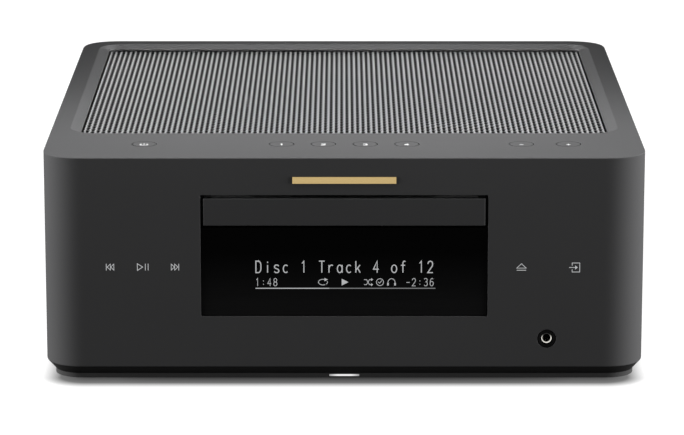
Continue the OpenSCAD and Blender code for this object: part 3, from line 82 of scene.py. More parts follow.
def partCoords(tree, stretch=(1, 1, 1)):
    coords = tree.nodes.new("ShaderNodeTexCoord").outputs["Object"]
    return addNode(tree, "ShaderNodeMapping", {"Vector": coords, "Scale": stretch}).outputs["Vector"]


def splitCoords(tree):
    return addNode(tree, "ShaderNodeSeparateXYZ", {"Vector": partCoords(tree)}).outputs


def addNoise(tree, coords, scale=1, detail=3, rough=0.6):
    inputs = {"Vector": coords, "Scale": scale, "Detail": detail, "Roughness": rough}
    return addNode(tree, "ShaderNodeTexNoise", inputs).outputs["Fac"]


# arithmetic on one or two values
def combine(tree, kind, *sources):
    made = tree.nodes.new("ShaderNodeMath")
    made.operation = kind
    tune(made, dict(enumerate(sources)))
    return made.outputs[0]


def ramp(tree, source, start, end, low=0, high=1):
    inputs = {"Value": source, "From Min": start, "From Max": end, "To Min": low, "To Max": high}
    return addNode(tree, "ShaderNodeMapRange", inputs).outputs["Result"]


def spread(tree, source, low, high):
    return ramp(tree, source, *noiseSpan, low, high)


# stops: places from 0 to 1 and their colours
def colorSteps(tree, source, stops):
    made = addNode(tree, "ShaderNodeValToRGB", {"Fac": source})
    while len(made.color_ramp.elements) < len(stops):
        made.color_ramp.elements.new(0.5)
    for stop, (place, color) in zip(made.color_ramp.elements, stops):
        stop.position = place
        stop.color = (*color, 1)
    return made.outputs["Color"]


def shade(color, factor):
    return tuple(min(1, c * factor) for c in color)


def tint(tree, source, color, low, high):
    return colorSteps(tree, source, list(zip(noiseSpan, (shade(color, low), shade(color, high)))))


def dent(tree, height, strength, deep):
    inputs = {"Height": height, "Strength": strength, "Distance": deep}
    return addNode(tree, "ShaderNodeBump", inputs).outputs["Normal"]


# moulded or painted surface with a fine grain and slow cloudy variation
def mouldedFinish(name, color, rough=0.45, shine=0.5, grain=0.35, bump=0.12, cloud=0.08, metal=0):
    finish, tree, shader = newFinish(name)
    coords = partCoords(tree)
    fine = addNoise(tree, coords, scale=1000 / grain, detail=2)
    slow = addNoise(tree, coords, scale=9, rough=0.5)
    tune(shader, {"Base Color": tint(tree, slow, color, 1 - cloud, 1 + cloud),
                  "Roughness": spread(tree, fine, rough - 0.04, rough + 0.04),
                  "Normal": dent(tree, fine, bump, deep=0.1 * grain * mm),
                  "Specular IOR Level": shine, "Metallic": metal})
    return finish


# drawn or brushed metal, the strokes run along one axis
def brushedFinish(name, color, rough=0.3, along="x", stroke=0.12, bump=0.08, vary=0.1):
    finish, tree, shader = newFinish(name)
    stretch = [30 if axis == along else 1000 / stroke for axis in "xyz"]
    lines = addNoise(tree, partCoords(tree, stretch))
    tune(shader, {"Base Color": tint(tree, lines, color, 1 - vary, 1 + vary),
                  "Roughness": spread(tree, lines, rough - 0.06, rough + 0.08),
                  "Normal": dent(tree, lines, bump, deep=0.02 * mm), "Metallic": 1})
    return finish


# finish that changes from one tone to another with height, over a streaked grain
def layerFinish(name, lowColor, highColor, heights, rough=0.4, shine=0.5, metal=0, along="x"):
    finish, tree, shader = newFinish(name)
    stretch = [40 if axis == along else 3000 for axis in "xyz"]
    streaks = addNoise(tree, partCoords(tree, stretch))
    both = tree.nodes.new("ShaderNodeMix")
    both.data_type = "RGBA"
    tune(both, {"Factor": ramp(tree, splitCoords(tree)["Z"], heights[0] * mm, heights[1] * mm)})
    tones = [socket for socket in both.inputs if socket.type == "RGBA"]
    for socket, color in zip(tones, (lowColor, highColor)):
        tree.links.new(tint(tree, streaks, color, low=0.9, high=1.1), socket)
    tune(shader, {"Base Color": next(socket for socket in both.outputs if socket.type == "RGBA"),
                  "Roughness": spread(tree, streaks, rough - 0.05, rough + 0.07),
                  "Specular IOR Level": shine, "Metallic": metal})
    return finish


# polished panel: nearly clean, with faint wiping marks in its roughness
def glossFinish(name, color, rough=0.06, shine=0.5, glass=0):
    finish, tree, shader = newFinish(name)
    marks = addNoise(tree, partCoords(tree, stretch=(14, 60, 60)), detail=4, rough=0.65)
    tune(shader, {"Base Color": tint(tree, marks, color, low=0.92, high=1.1),
                  "Roughness": spread(tree, marks, rough, rough + 0.05),
                  "Specular IOR Level": shine, "Transmission Weight": glass})
    return finish


# lit surface made of small cells
def litFinish(name, color, strength, cell=0.3):
    finish, tree, shader = newFinish(name)
    cells = addNoise(tree, partCoords(tree), scale=1000 / cell, detail=1, rough=0.5)
    tune(shader, {"Emission Color": tint(tree, cells, color, low=0.88, high=1), "Emission Strength": strength,
                  "Base Color": (0.02, 0.02, 0.02, 1), "Specular IOR Level": 0.1})
    return finish


# light guide that glows along its middle and fades at its edges and ends
def coreFinish(name, color, low, high, half, strength):
    finish, tree, shader = newFinish(name)
    apart, edge = splitCoords(tree), shade(color, 0.02)
    across = ramp(tree, apart["Z"], low * mm, high * mm)
    aside = combine(tree, "ABSOLUTE", apart["X"])
    glow = ramp(tree, aside, 0.45 * half * mm, half * mm, low=strength, high=0.35 * strength)
    core = colorSteps(tree, across, ((0, edge), (0.3, color), (0.7, color), (1, edge)))
    tune(shader, {"Emission Color": core, "Emission Strength": glow,
                  "Base Color": (*shade(color, 0.03), 1), "Specular IOR Level": 0.1})
    return finish


# green laminate with tracks under the mask
def boardFinish(name, color):
    finish, tree, shader = newFinish(name)
    tracks = addNode(tree, "ShaderNodeTexBrick", {
        "Vector": partCoords(tree), "Scale": 160, "Mortar Size": 0.03, "Row Height": 0.12,
        "Color1": (*color, 1), "Color2": (*shade(color, 0.8), 1), "Mortar": (*shade(color, 1.7), 1)}).outputs
    tune(shader, {"Base Color": tracks["Color"], "Roughness": 0.35,
                  "Normal": dent(tree, tracks["Fac"], strength=0.2, deep=0.03 * mm)})
    return finish


# the cabinet's own surfaces
casing = mouldedFinish("casing", (0.06, 0.06, 0.061), rough=0.64, shine=0, grain=0.25, bump=0.1, cloud=0.03)
trayFace = mouldedFinish("trayFace", (0.053, 0.053, 0.054), rough=0.62, shine=0, grain=0.25, bump=0.1,
                         cloud=0.03)
buttonSkin = mouldedFinish("buttonSkin", (0.06, 0.06, 0.061), rough=0.63, shine=0, grain=0.25, cloud=0.03)
# the plinth's skirt above the lip is painted near-black as painted shade; the lip below keeps the plinth's
# own dark grey
plinthShadedSkirt = layerFinish("plinthShadedSkirt", (0.045, 0.045, 0.045), (0.005, 0.005, 0.005), (7.1, 7.3),
                          rough=0.55, shine=0.015)
# grille bars are painted near-black towards their feet and on the low webs: painted shade in the gaps between
# the bars
grilleSatinShadedGaps = layerFinish("grilleSatinShadedGaps", (0.012, 0.012, 0.012), (0.55, 0.55, 0.555), (107.3, 107.9),
                          rough=0.36, metal=1, along="y")
# the window is painted lighter towards its lower edge: a painted reflection of the floor
windowBlackFloorReflection = layerFinish("windowBlackFloorReflection", (0.008, 0.008, 0.0082), (0.001, 0.001, 0.001), (42, 66),
                          rough=0.1, shine=0.008)
displayGlass = glossFinish("displayGlass", (0.004, 0.005, 0.007), rough=0.1, shine=0.3)
panelPaint = mouldedFinish("panelPaint", (0.013, 0.013, 0.0135), rough=0.4, shine=0.35, grain=0.5, bump=0.25)
# near-black sheet for the vents: a dark sheet standing in for shade inside the cabinet
shadeFoamBlack = mouldedFinish("shadeFoamBlack", (0.004, 0.004, 0.004), rough=0.95, shine=0.05, grain=1.5, bump=0.8)
footRubber = mouldedFinish("footRubber", (0.008, 0.008, 0.008), rough=0.85, shine=0.25, grain=0.6, bump=0.3)

# metals
goldPlate = brushedFinish("goldPlate", (0.52, 0.38, 0.17), vary=0.06)
contactGold = brushedFinish("contactGold", (0.83, 0.62, 0.27), rough=0.2, along="y", vary=0.05)
# the sleeve is nickel on its lower part and painted near-black above: painted shade on its upper part
sleeveNickelShadedTop = layerFinish("sleeveNickelShadedTop", (0.8, 0.78, 0.72), (0.03, 0.03, 0.03), (25.0, 26.6),
                           rough=0.2, metal=1)
polishedRod = brushedFinish("polishedRod", (0.78, 0.78, 0.8), rough=0.12, along="y", vary=0.03)
sheetSteel = brushedFinish("sheetSteel", (0.05, 0.05, 0.053), rough=0.45, stroke=0.5)
motorSteel = brushedFinish("motorSteel", (0.6, 0.6, 0.62), rough=0.28, along="z")
shieldTin = brushedFinish("shieldTin", (0.6, 0.6, 0.61), along="y", stroke=0.3)
screwZinc = brushedFinish("screwZinc", (0.06, 0.06, 0.065), rough=0.35, along="z", stroke=0.3)
sinkAlloy = brushedFinish("sinkAlloy", (0.06, 0.06, 0.065), rough=0.45, along="y", stroke=0.3)
pickupAlloy = mouldedFinish("pickupAlloy", (0.3, 0.3, 0.32), rough=0.4, grain=0.5, metal=1)

# plastics, rubber, glass and boards
lensGlass = glossFinish("lensGlass", (0.35, 0.45, 0.75), rough=0.02, shine=0.6, glass=0.6)
innerBlack = mouldedFinish("innerBlack", (0.005, 0.005, 0.0052), rough=0.55, shine=0.1, grain=0.4)
trayBlack = mouldedFinish("trayBlack", (0.014, 0.014, 0.0145), rough=0.5, shine=0.3, bump=0.2)
puckBlack = mouldedFinish("puckBlack", (0.02, 0.02, 0.021), shine=0.4)
tableBlack = mouldedFinish("tableBlack", (0.025, 0.025, 0.026), rough=0.5, shine=0.4)
collarBlack = mouldedFinish("collarBlack", (0.003, 0.003, 0.003), rough=0.6, shine=0.03)
socketBlack = mouldedFinish("socketBlack", (0.006, 0.006, 0.006), rough=0.4, shine=0.3)
switchBlack = mouldedFinish("switchBlack", (0.012, 0.012, 0.012), rough=0.4, shine=0.4)
acetalWhite = mouldedFinish("acetalWhite", (0.66, 0.66, 0.6), rough=0.4, grain=0.6, bump=0.05, cloud=0.03)
beltRubber = mouldedFinish("beltRubber", (0.01, 0.01, 0.01), rough=0.8, shine=0.3, grain=0.4, bump=0.3)
boardGreen = boardFinish("boardGreen", (0.012, 0.07, 0.03))
windingTape = mouldedFinish("windingTape", (0.42, 0.26, 0.04), rough=0.5, grain=1.2, bump=0.3, cloud=0.2)
capSleeve = glossFinish("capSleeve", (0.012, 0.016, 0.05), rough=0.25)
capRed = mouldedFinish("capRed", (0.33, 0.008, 0.008), rough=0.25, grain=0.8, bump=0.04)
capBlack = mouldedFinish("capBlack", (0.009, 0.009, 0.009), rough=0.25, grain=0.8, bump=0.04)
insulatorWhite = mouldedFinish("insulatorWhite", (0.7, 0.7, 0.68), rough=0.4, grain=0.5, cloud=0.03)
insulatorRed = mouldedFinish("insulatorRed", (0.4, 0.012, 0.012), rough=0.4, grain=0.5, cloud=0.05)

# signs and lights
printedWhite = mouldedFinish("printedWhite", (0.55, 0.55, 0.55), rough=0.6, shine=0.2, grain=0.2, cloud=0.05)
coolWhite = (0.62, 0.63, 0.64)
litSigns = litFinish("litSigns", coolWhite, 0.8)
litText = litFinish("litText", coolWhite, 0.75)
litDim = litFinish("litDim", coolWhite, 0.3)
litBar = coreFinish("litBar", (1.0, 1.0, 1.0), low=5.65, high=6.75, half=6.9, strength=1.0)
print("finishes made:", len(bpy.data.materials))


# mesh tools, all sizes in millimetres, y counted back from the front face
frontY = -155.85
tiny = 1e-6


def spot(x, y, z):
    return Vector((x * mm, (y + frontY) * mm, z * mm))


# skin over a row of rings, closed at both ends
def loft(mesh, rings):
    rows = [[mesh.verts.new(p) for p in ring] for ring in rings]
    count = len(rows[0])
    for low, high in zip(rows, rows[1:]):
        for i in range(count):
            j = (i + 1) % count
            mesh.faces.new((low[i], low[j], high[j], high[i]))
    mesh.faces.new(list(reversed(rows[0])))
    mesh.faces.new(rows[-1])


# outline with rounded corners: true arcs at power 2, softer ones that lead gently into the sides above it
def roundOutline(x0, x1, y0, y1, reach, steps, power=2):
    corners = [(x1 - reach, y1 - reach, 0), (x0 + reach, y1 - reach, 90),
               (x0 + reach, y0 + reach, 180), (x1 - reach, y0 + reach, 270)]
    out = []
    for cx, cy, start in corners:
        for i in range(steps + 1):
            turn = math.radians(90 * i / steps)
            radius = reach / (math.cos(turn) ** power + math.sin(turn) ** power) ** (1 / power)
            a = turn + math.radians(start)
            out.append((cx + radius * math.cos(a), cy + radius * math.sin(a)))
    return out


# rounded outline standing upright at depth y, grown all round by so much
def uprightRing(hole, grow, corner, y):
    half = hole["halfW"] + grow
    outline = roundOutline(-half, half, hole["low"] - grow, hole["high"] + grow, corner, steps=4)
    return [spot(x, y, z) for x, z in outline]


# turned shape: profile of (radius, height), closed at radius 0 or back onto its first point
def turned(mesh, profile, place, steps=48, hollow=False):
    turns = [2 * math.pi * i / steps for i in range(steps)]
    rows = []
    for radius, height in profile:
        around = [(radius * math.cos(a), radius * math.sin(a)) for a in turns] if radius > tiny else [(0, 0)]
        rows.append([mesh.verts.new(place(u, v, height)) for u, v in around])
    pairs = list(zip(rows, rows[1:]))
    if hollow:
        pairs.append((rows[-1], rows[0]))
    for low, high in pairs:
        for i in range(steps):
            j = (i + 1) % steps
            if len(low) == 1:
                mesh.faces.new((low[0], high[j], high[i]))
            elif len(high) == 1:
                mesh.faces.new((low[i], low[j], high[0]))
            else:
                mesh.faces.new((low[i], low[j], high[j], high[i]))


# placers: u across, v up or back, h along the axis
def standing(x, y):
    return lambda u, v, h: spot(x + u, y + v, h)


def facing(x, z):
    return lambda u, v, h: spot(x + u, h, z + v)


def onFront(x, z, face=0.0):
    return lambda u, v, h: spot(x + u, face - h, z + v)


def onTop(x, y, face):
    return lambda u, v, h: spot(x + u, y + v, face + h)


def behind(x, z, face):
    return lambda u, v, h: spot(x + u, face + h, z + v)


def beneath(x, y, face):
    return lambda u, v, h: spot(x + u, y + v, face - h)


def box(x0, x1, y0, y1):
    return [(x0, y0), (x1, y0), (x1, y1), (x0, y1)]


def blockMesh(mesh, x0, x1, y0, y1, z0, z1):
    loft(mesh, [[spot(x, y, z) for x, y in box(x0, x1, y0, y1)] for z in (z0, z1)])


# quarter round as pairs of side and down, from the wall up to the face
def fillet(radius, steps):
    turns = [math.radians(90 * i / steps) for i in range(steps + 1)]
    return [(radius * (1 - math.cos(a)), radius * (1 - math.sin(a))) for a in turns]


def makeObject(name, mesh):
    bmesh.ops.recalc_face_normals(mesh, faces=mesh.faces)
    data = bpy.data.meshes.new(name)
    mesh.to_mesh(data)
    mesh.free()
    made = bpy.data.objects.new(name, data)
    scene.collection.objects.link(made)
    return made


# cuts the tools out of the piece and clears them away
def carve(piece, tools):
    for tool in tools:
        cut = piece.modifiers.new("cut", "BOOLEAN")
        cut.object = tool
        cut.operation = "DIFFERENCE"
        cut.solver = "EXACT"
    solid = bpy.data.meshes.new_from_object(piece.evaluated_get(bpy.context.evaluated_depsgraph_get()))
    piece.modifiers.clear()
    piece.data = solid
    for tool in tools:
        bpy.data.objects.remove(tool)


# one object from several, which are cleared away
def joinPieces(name, pieces):
    joined = bmesh.new()
    for piece in pieces:
        joined.from_mesh(piece.data)
        bpy.data.objects.remove(piece)
    return makeObject(name, joined)


def smoothOver(piece, angle, weigh=True):
    for face in piece.data.polygons:
        face.use_smooth = True
    piece.data.set_sharp_from_angle(angle=math.radians(angle))
    if weigh:
        even = piece.modifiers.new("evenNormals", "WEIGHTED_NORMAL")
        even.keep_sharp = True
        even.weight = 80


def dress(piece, finish, body, replaced=()):
    piece.data.materials.clear()
    piece.data.materials.append(finish)
    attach(piece, body)
    if replaced:
        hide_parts(*replaced)


# cabinet: filleted outer skin with hollow, recess, front opening and button holes cut from it
over = 1  # cutters run this far past a face
cabinet = {"halfW": 140, "depth": 300, "low": 11.2, "high": 111, "wall": 3, "ceiling": 108,
           "corner": 21, "cornerSteps": 28, "cornerPower": 2.5, "topFillet": 0.5, "lowFillet": 0.7,
           "flangeIn": 14, "flangeTop": 13.5}
recess = {"halfW": 131, "front": 56, "back": 291, "corner": 14, "run": 5, "rise": 2.0, "undercut": 1.5,
          "seam": 0.02, "sill": 0.15, "footEase": (0.12, 0.03), "footEnd": 0.5,
          "brow": 0.45, "browEase": 0.05, "edge": 0.3, "edgeDown": 0.002, "flare": 0.01}
opening = {"halfW": 66.6, "low": 35.6, "high": 93.45, "corner": 0.5, "lip": 0.12}
nameSeat = {"halfW": 24, "low": 98.9, "high": 102.1, "corner": 0.3, "lip": 0.08, "deep": 0.5}
socketHole = {"x": 94.2, "z": 24.9, "radius": 4.4, "lip": 0.2}
buttonHoles = {"y": 31, "radius": 5.95, "lip": 0.05,
               "x": {"power_button": -93.8, "preset_button_1": -29.325, "preset_button_2": -9.775,
                     "preset_button_3": 9.775, "preset_button_4": 29.325,
                     "volume_down_button": 83, "volume_up_button": 105}}
backHole = {"halfW": 106, "low": 18.2, "high": 100, "corner": 1.5, "lip": 0.12}
panelHoles = {"x": 108.5, "z": (30.2, 88), "radius": 1.6, "lip": 0.15}
innerPosts = {"keyX": (-118, -60, 60, 118), "keyR": 3, "keyLow": 97.5, "keySunk": 0.5,
              "bossX": 123, "bossY": (17, 283), "bossR": 4.5, "boreR": 1.55,
              "bossLow": 11.6, "bossHigh": 29.2}


def cabinetRing(inset, z):
    c = cabinet
    half, back, corner = c["halfW"] - inset, c["depth"] - inset, c["corner"] - inset
    outline = roundOutline(-half, half, inset, back, corner, c["cornerSteps"], c["cornerPower"])
    return [spot(x, y, z) for x, y in outline]


def cabinetSkin():
    c, skin = cabinet, bmesh.new()
    rings = [cabinetRing(down, c["low"] + side) for side, down in fillet(c["lowFillet"], steps=4)]
    rings += [cabinetRing(side, c["high"] - down) for side, down in fillet(c["topFillet"], steps=5)]
    loft(skin, rings)
    return makeObject("cabinetSkin", skin)


def insetTool(name, inset, low, high):
    tool = bmesh.new()
    loft(tool, [cabinetRing(inset, low), cabinetRing(inset, high)])
    return makeObject(name, tool)


# out is 0 at the lower outline and run at the upper one; the front edge is upright
def recessRing(out, z):
    r = recess
    inset, forward = r["run"] - out, max(0, out - r["run"])
    half, corner = r["halfW"] - inset, r["corner"] - 2 * inset
    outline = roundOutline(-half, half, r["front"] - forward, r["back"] - inset, corner, steps=16)
    return [spot(x, y, z) for x, y in outline]


def recessTool():
    r, run, tool = recess, recess["run"], bmesh.new()
    top, ceiling = cabinet["high"], cabinet["ceiling"]
    foot, slope = top - r["rise"], run / r["rise"]
    path = [(r["undercut"], ceiling - over), (r["undercut"], ceiling + r["seam"]), (0, foot - r["sill"]),
            (r["footEase"][0], foot + r["footEase"][1]), (r["footEnd"], foot + r["footEnd"] / slope),
            (run - r["brow"], top - r["brow"] / slope), (run - r["browEase"], top - r["browEase"]),
            (run + r["edge"], top - r["edgeDown"]), (run + r["edge"] + r["flare"], top + over)]
    loft(tool, [recessRing(out, z) for out, z in path])
    return makeObject("recessTool", tool)


# round hole through a face, opened out softly at the surface
def holeTool(name, place, hole, surface, deep, outward, steps=64):
    tool, radius, lip = bmesh.new(), hole["radius"], hole["lip"]
    profile = [(0, deep), (radius, deep)]
    profile += [(radius + side, surface - outward * down) for side, down in fillet(lip, steps=4)]
    profile += [(radius + lip, surface + outward * over), (0, surface + outward * over)]
    turned(tool, profile, place, steps)
    return makeObject(name, tool)


# the same for a slot with rounded corners
def slotTool(name, hole, surface, deep, outward):
    tool, lip = bmesh.new(), hole["lip"]
    path = [(0, deep)] + [(side, surface - outward * down) for side, down in fillet(lip, steps=3)]
    path.append((lip, surface + outward * over))
    loft(tool, [uprightRing(hole, side, hole["corner"] + side, y) for side, y in path])
    return makeObject(name, tool)


def addInnerPosts(piece):
    p, mesh = innerPosts, bmesh.new()
    mesh.from_mesh(piece.data)
    keyTop = cabinet["ceiling"] + p["keySunk"]
    post = [(0, p["keyLow"]), (p["keyR"], p["keyLow"]), (p["keyR"], keyTop), (0, keyTop)]
    for x in p["keyX"]:
        turned(mesh, post, standing(x, buttonHoles["y"]), steps=24)
    boss = [(p["boreR"], p["bossLow"]), (p["bossR"], p["bossLow"]),
            (p["bossR"], p["bossHigh"]), (p["boreR"], p["bossHigh"])]
    for x in (-p["bossX"], p["bossX"]):
        for y in p["bossY"]:
            turned(mesh, boss, standing(x, y), steps=24, hollow=True)
    mesh.to_mesh(piece.data)
    mesh.free()


def buildCabinet():
    c, s, p, b = cabinet, socketHole, panelHoles, buttonHoles
    inFront, back, inBack = c["wall"] + over, c["depth"], c["depth"] - c["wall"] - over
    skin = cabinetSkin()
    tools = [insetTool("hollowTool", c["wall"], c["flangeTop"], c["ceiling"]),
             insetTool("flangeTool", c["flangeIn"], c["low"] - over, c["flangeTop"] + over), recessTool(),
             slotTool("openingTool", opening, 0, inFront, -1),
             slotTool("nameTool", nameSeat, 0, nameSeat["deep"], -1),
             holeTool("socketTool", facing(s["x"], s["z"]), s, 0, inFront, -1)]
    for name, x in b["x"].items():
        tools.append(holeTool(name + "Tool", standing(x, b["y"]), b, c["high"], c["ceiling"] - over, 1))
    tools.append(slotTool("backTool", backHole, back, inBack, 1))
    for x in (-p["x"], p["x"]):
        for z in p["z"]:
            tools.append(holeTool("screwTool", facing(x, z), p, back, inBack, 1, steps=24))
    carve(skin, tools)
    addInnerPosts(skin)
    smoothOver(skin, angle=30)
    dress(skin, casing, "cabinet", ["cabinet_shell"])


buildCabinet()
print("cabinet built")

# top grille: bars that sway from side to side, joined by low webs where they come close
grille = {"bars": 97, "pitch": 2.6, "barW": 1.1, "barFrom": 55, "low": 106.8, "high": 108, "halfW": 129,
          "front": 52, "back": 289, "hole": (56, 285), "wave": 6.2, "sway": 0.34, "crown": 0.6,
          "crownTurns": (40, 75, 105, 140), "webL": 1.6, "webLow": 106.82, "webTop": 107.36,
          "rimTop": 107.15, "rimIn": 126.2, "rimGap": 0.4, "rimLap": 0.6}


def buildGrille():
    g, mesh = grille, bmesh.new()
    half, spring, step = g["barW"] / 2, g["high"] - g["crown"], g["wave"] / 2
    holeFront, holeBack = g["hole"]
    crown = [(-half, g["low"]), (-half, spring)]
    for turn in g["crownTurns"]:
        a = math.radians(turn)
        crown.append((-half * math.cos(a), spring + g["crown"] * math.sin(a)))
    crown += [(half, spring), (half, g["low"])]
    centres = [(i - (g["bars"] - 1) / 2) * g["pitch"] for i in range(g["bars"])]
    sections = int((holeBack - g["barFrom"]) / step)
    for k, cx in enumerate(centres):
        rings = []
        for i in range(sections + 1):
            shift = g["sway"] * (-1) ** (i + k)
            rings.append([spot(cx + u + shift, g["barFrom"] + i * step, z) for u, z in crown])
        loft(mesh, rings)
    for k, (a, b) in enumerate(zip(centres, centres[1:])):
        y = g["barFrom"] + step * (k % 2) - g["webL"] / 2
        while y + g["webL"] < holeBack:
            if y > holeFront:
                blockMesh(mesh, a + half, b - half, y, y + g["webL"], g["webLow"], g["webTop"])
            y += g["wave"]
    for y0, y1 in ((g["front"], holeFront - g["rimGap"]), (holeBack + g["rimGap"], g["back"])):
        blockMesh(mesh, -g["halfW"], g["halfW"], y0, y1, g["low"], g["rimTop"])
    for x0, x1 in ((-g["halfW"], -g["rimIn"]), (g["rimIn"], g["halfW"])):
        blockMesh(mesh, x0, x1, holeFront - g["rimLap"], holeBack + g["rimLap"], g["low"], g["rimTop"])
    made = makeObject("grilleBars", mesh)
    smoothOver(made, angle=50, weigh=False)
    dress(made, grilleSatinShadedGaps, "cabinet", ["top_grille"])


buildGrille()
print("grille built")

# round top buttons with a soft edge and a shallow dish
buttonTop = {"radius": 5.5, "high": 111, "edge": 0.06, "dish": 0.08, "dishRings": 6,
             "flangeR": 7.1, "flangeHigh": 107.8, "flangeLow": 106.6, "stemR": 2, "stemLow": 104.6}


def buildButton(name, x):
    t, r, mesh = buttonTop, buttonTop["radius"], bmesh.new()
    profile = [(0, t["stemLow"]), (t["stemR"], t["stemLow"]), (t["stemR"], t["flangeLow"]),
               (t["flangeR"], t["flangeLow"]), (t["flangeR"], t["flangeHigh"]), (r, t["flangeHigh"])]
    profile += [(r - side, t["high"] - down) for side, down in fillet(t["edge"], steps=4)]
    for k in range(1, t["dishRings"]):
        share = 1 - k / t["dishRings"]
        profile.append(((r - t["edge"]) * share, t["high"] - t["dish"] * (1 - share ** 2)))
    profile.append((0, t["high"] - t["dish"]))
    turned(mesh, profile, standing(x, buttonHoles["y"]), steps=64)
    made = makeObject(name + "Cap", mesh)
    smoothOver(made, angle=35)
    dress(made, buttonSkin, name, [name])


for buttonName, buttonX in buttonHoles["x"].items():
    buildButton(buttonName, buttonX)
print("buttons built")

# headphone socket: turned collar with a coned mouth, on a square house
phones = {"collarR": 4.3, "boreR": 2.45, "coneEnd": 1.1, "rimDown": 0.25, "shoulder": 3.4, "end": 14,
          "mouth": [(2.75, 0.7), (3.3, 0.35), (3.6, 0.12), (3.85, 0.02), (4.1, 0.04)],
          "houseHalf": 5.5, "houseFrom": 3, "houseEnd": 18, "seatR": 3.8, "seatFrom": 2, "seatEnd": 13.9}


def buildPhones():
    p, x, z, half = phones, socketHole["x"], socketHole["z"], phones["houseHalf"]
    mesh, block, seat = bmesh.new(), bmesh.new(), bmesh.new()
    profile = [(p["boreR"], p["end"]), (p["boreR"], p["coneEnd"])] + p["mouth"]
    profile += [(p["collarR"], down) for down in (p["rimDown"], p["shoulder"], p["end"])]
    turned(mesh, profile, facing(x, z), steps=64, hollow=True)
    collar = makeObject("phonesCollar", mesh)
    blockMesh(block, x - half, x + half, p["houseFrom"], p["houseEnd"], z - half, z + half)
    house = makeObject("phonesHouse", block)
    profile = [(0, p["seatFrom"]), (p["seatR"], p["seatFrom"]), (p["seatR"], p["seatEnd"]), (0, p["seatEnd"])]
    turned(seat, profile, facing(x, z))
    carve(house, [makeObject("seatTool", seat)])
    made = joinPieces("phonesSocket", [house, collar])
    smoothOver(made, angle=32)
    dress(made, collarBlack, "cabinet", ["headphone_jack"])


# bright sleeve inside the collar, with painted shade over its upper part
sleeve = {"bore": 1.8, "radius": 2.4, "boreFrom": 1.75, "rim": [(1.85, 1.66), (2.25, 1.4), (2.35, 1.38)],
          "edge": 1.45, "end": 14}


def buildSleeve():
    s, mesh = sleeve, bmesh.new()
    profile = [(s["bore"], s["end"]), (s["bore"], s["boreFrom"])] + s["rim"]
    profile += [(s["radius"], s["edge"]), (s["radius"], s["end"])]
    turned(mesh, profile, facing(socketHole["x"], socketHole["z"]), hollow=True)
    made = makeObject("phonesSleeve", mesh)
    smoothOver(made, angle=50)
    dress(made, sleeveNickelShadedTop, "cabinet", ["jack_sleeve"])


buildPhones()
buildSleeve()
print("headphone socket built")

# rubber feet with rounded edges and a shallow ring under each
feet = {"x": 105, "y": (38, 262), "radius": 13, "high": 5, "edge": 1.1, "edgeTurns": (22, 45, 68, 90),
        "ring": [(0, 0.35), (7.2, 0.35), (7.6, 0)], "topEdge": [(0.15, 0.4), (0.5, 0)],
        "studR": 3, "studHigh": 7.2}


def buildFeet():
    f, r, edge, mesh = feet, feet["radius"], feet["edge"], bmesh.new()
    profile = f["ring"] + [(r - edge, 0)]
    for turn in f["edgeTurns"]:
        a = math.radians(turn)
        profile.append((r - edge + edge * math.sin(a), edge - edge * math.cos(a)))
    profile += [(r - side, f["high"] - down) for side, down in f["topEdge"]]
    profile += [(f["studR"], f["high"]), (f["studR"], f["studHigh"]), (0, f["studHigh"])]
    for x in (-f["x"], f["x"]):
        for y in f["y"]:
            turned(mesh, profile, standing(x, y))
    made = makeObject("rubberFeet", mesh)
    smoothOver(made, angle=40)
    dress(made, footRubber, "cabinet", ["feet"])


buildFeet()
print("feet built")


# printed and lit marks: flat ribbons and fills on the face that carries them
markThick = 0.02
bluntBend = 0.45  # keeps the outside of a sharp bend from running out


def arc(cx, cy, rx, ry, start, end, steps=14):
    turns = [math.radians(start + (end - start) * i / steps) for i in range(steps + 1)]
    return [(cx + rx * math.cos(a), cy + ry * math.sin(a)) for a in turns]


def loop(*points):
    return [*points, points[0]]


# a line whose ends meet closes up
def ribbon(mesh, line, width, place, thick=markThick):
    points = [Vector(point) for point in line]
    closed = (points[0] - points[-1]).length < tiny
    if closed:
        points.pop()
    count, normals, left, right = len(points), [], [], []
    runs = [(i, (i + 1) % count) for i in range(count if closed else count - 1)]
    for i, j in runs:
        along = (points[j] - points[i]).normalized()
        normals.append(Vector((-along.y, along.x)))
    before = normals[-1:] + normals[:-1] if closed else normals[:1] + normals
    after = normals if closed else normals + normals[-1:]
    for p, n1, n2 in zip(points, before, after):
        bend = n1 + n2
        bend = n1 if bend.length < tiny else bend.normalized()
        reach = width / 2 / max(bluntBend, bend.dot(n1))
        left.append(p + bend * reach)
        right.append(p - bend * reach)
    low = [[mesh.verts.new(place(q.x, q.y, 0)) for q in side] for side in (left, right)]
    high = [[mesh.verts.new(place(q.x, q.y, thick)) for q in side] for side in (left, right)]
    for i, j in runs:
        mesh.faces.new((high[0][i], high[0][j], high[1][j], high[1][i]))
        mesh.faces.new((low[0][i], low[1][i], low[1][j], low[0][j]))
        mesh.faces.new((low[0][i], low[0][j], high[0][j], high[0][i]))
        mesh.faces.new((low[1][j], low[1][i], high[1][i], high[1][j]))
    if not closed:
        for i in (0, count - 1):
            mesh.faces.new((low[0][i], high[0][i], high[1][i], low[1][i]))


def patch(mesh, points, place):
    loft(mesh, [[place(x, y, h) for x, y in points] for h in (0, markThick)])


def drawSign(mesh, sign, pen, place):
    for line in sign.get("lines", []):
        ribbon(mesh, line, pen, place)
    for fill in sign.get("fills", []):
        patch(mesh, fill, place)


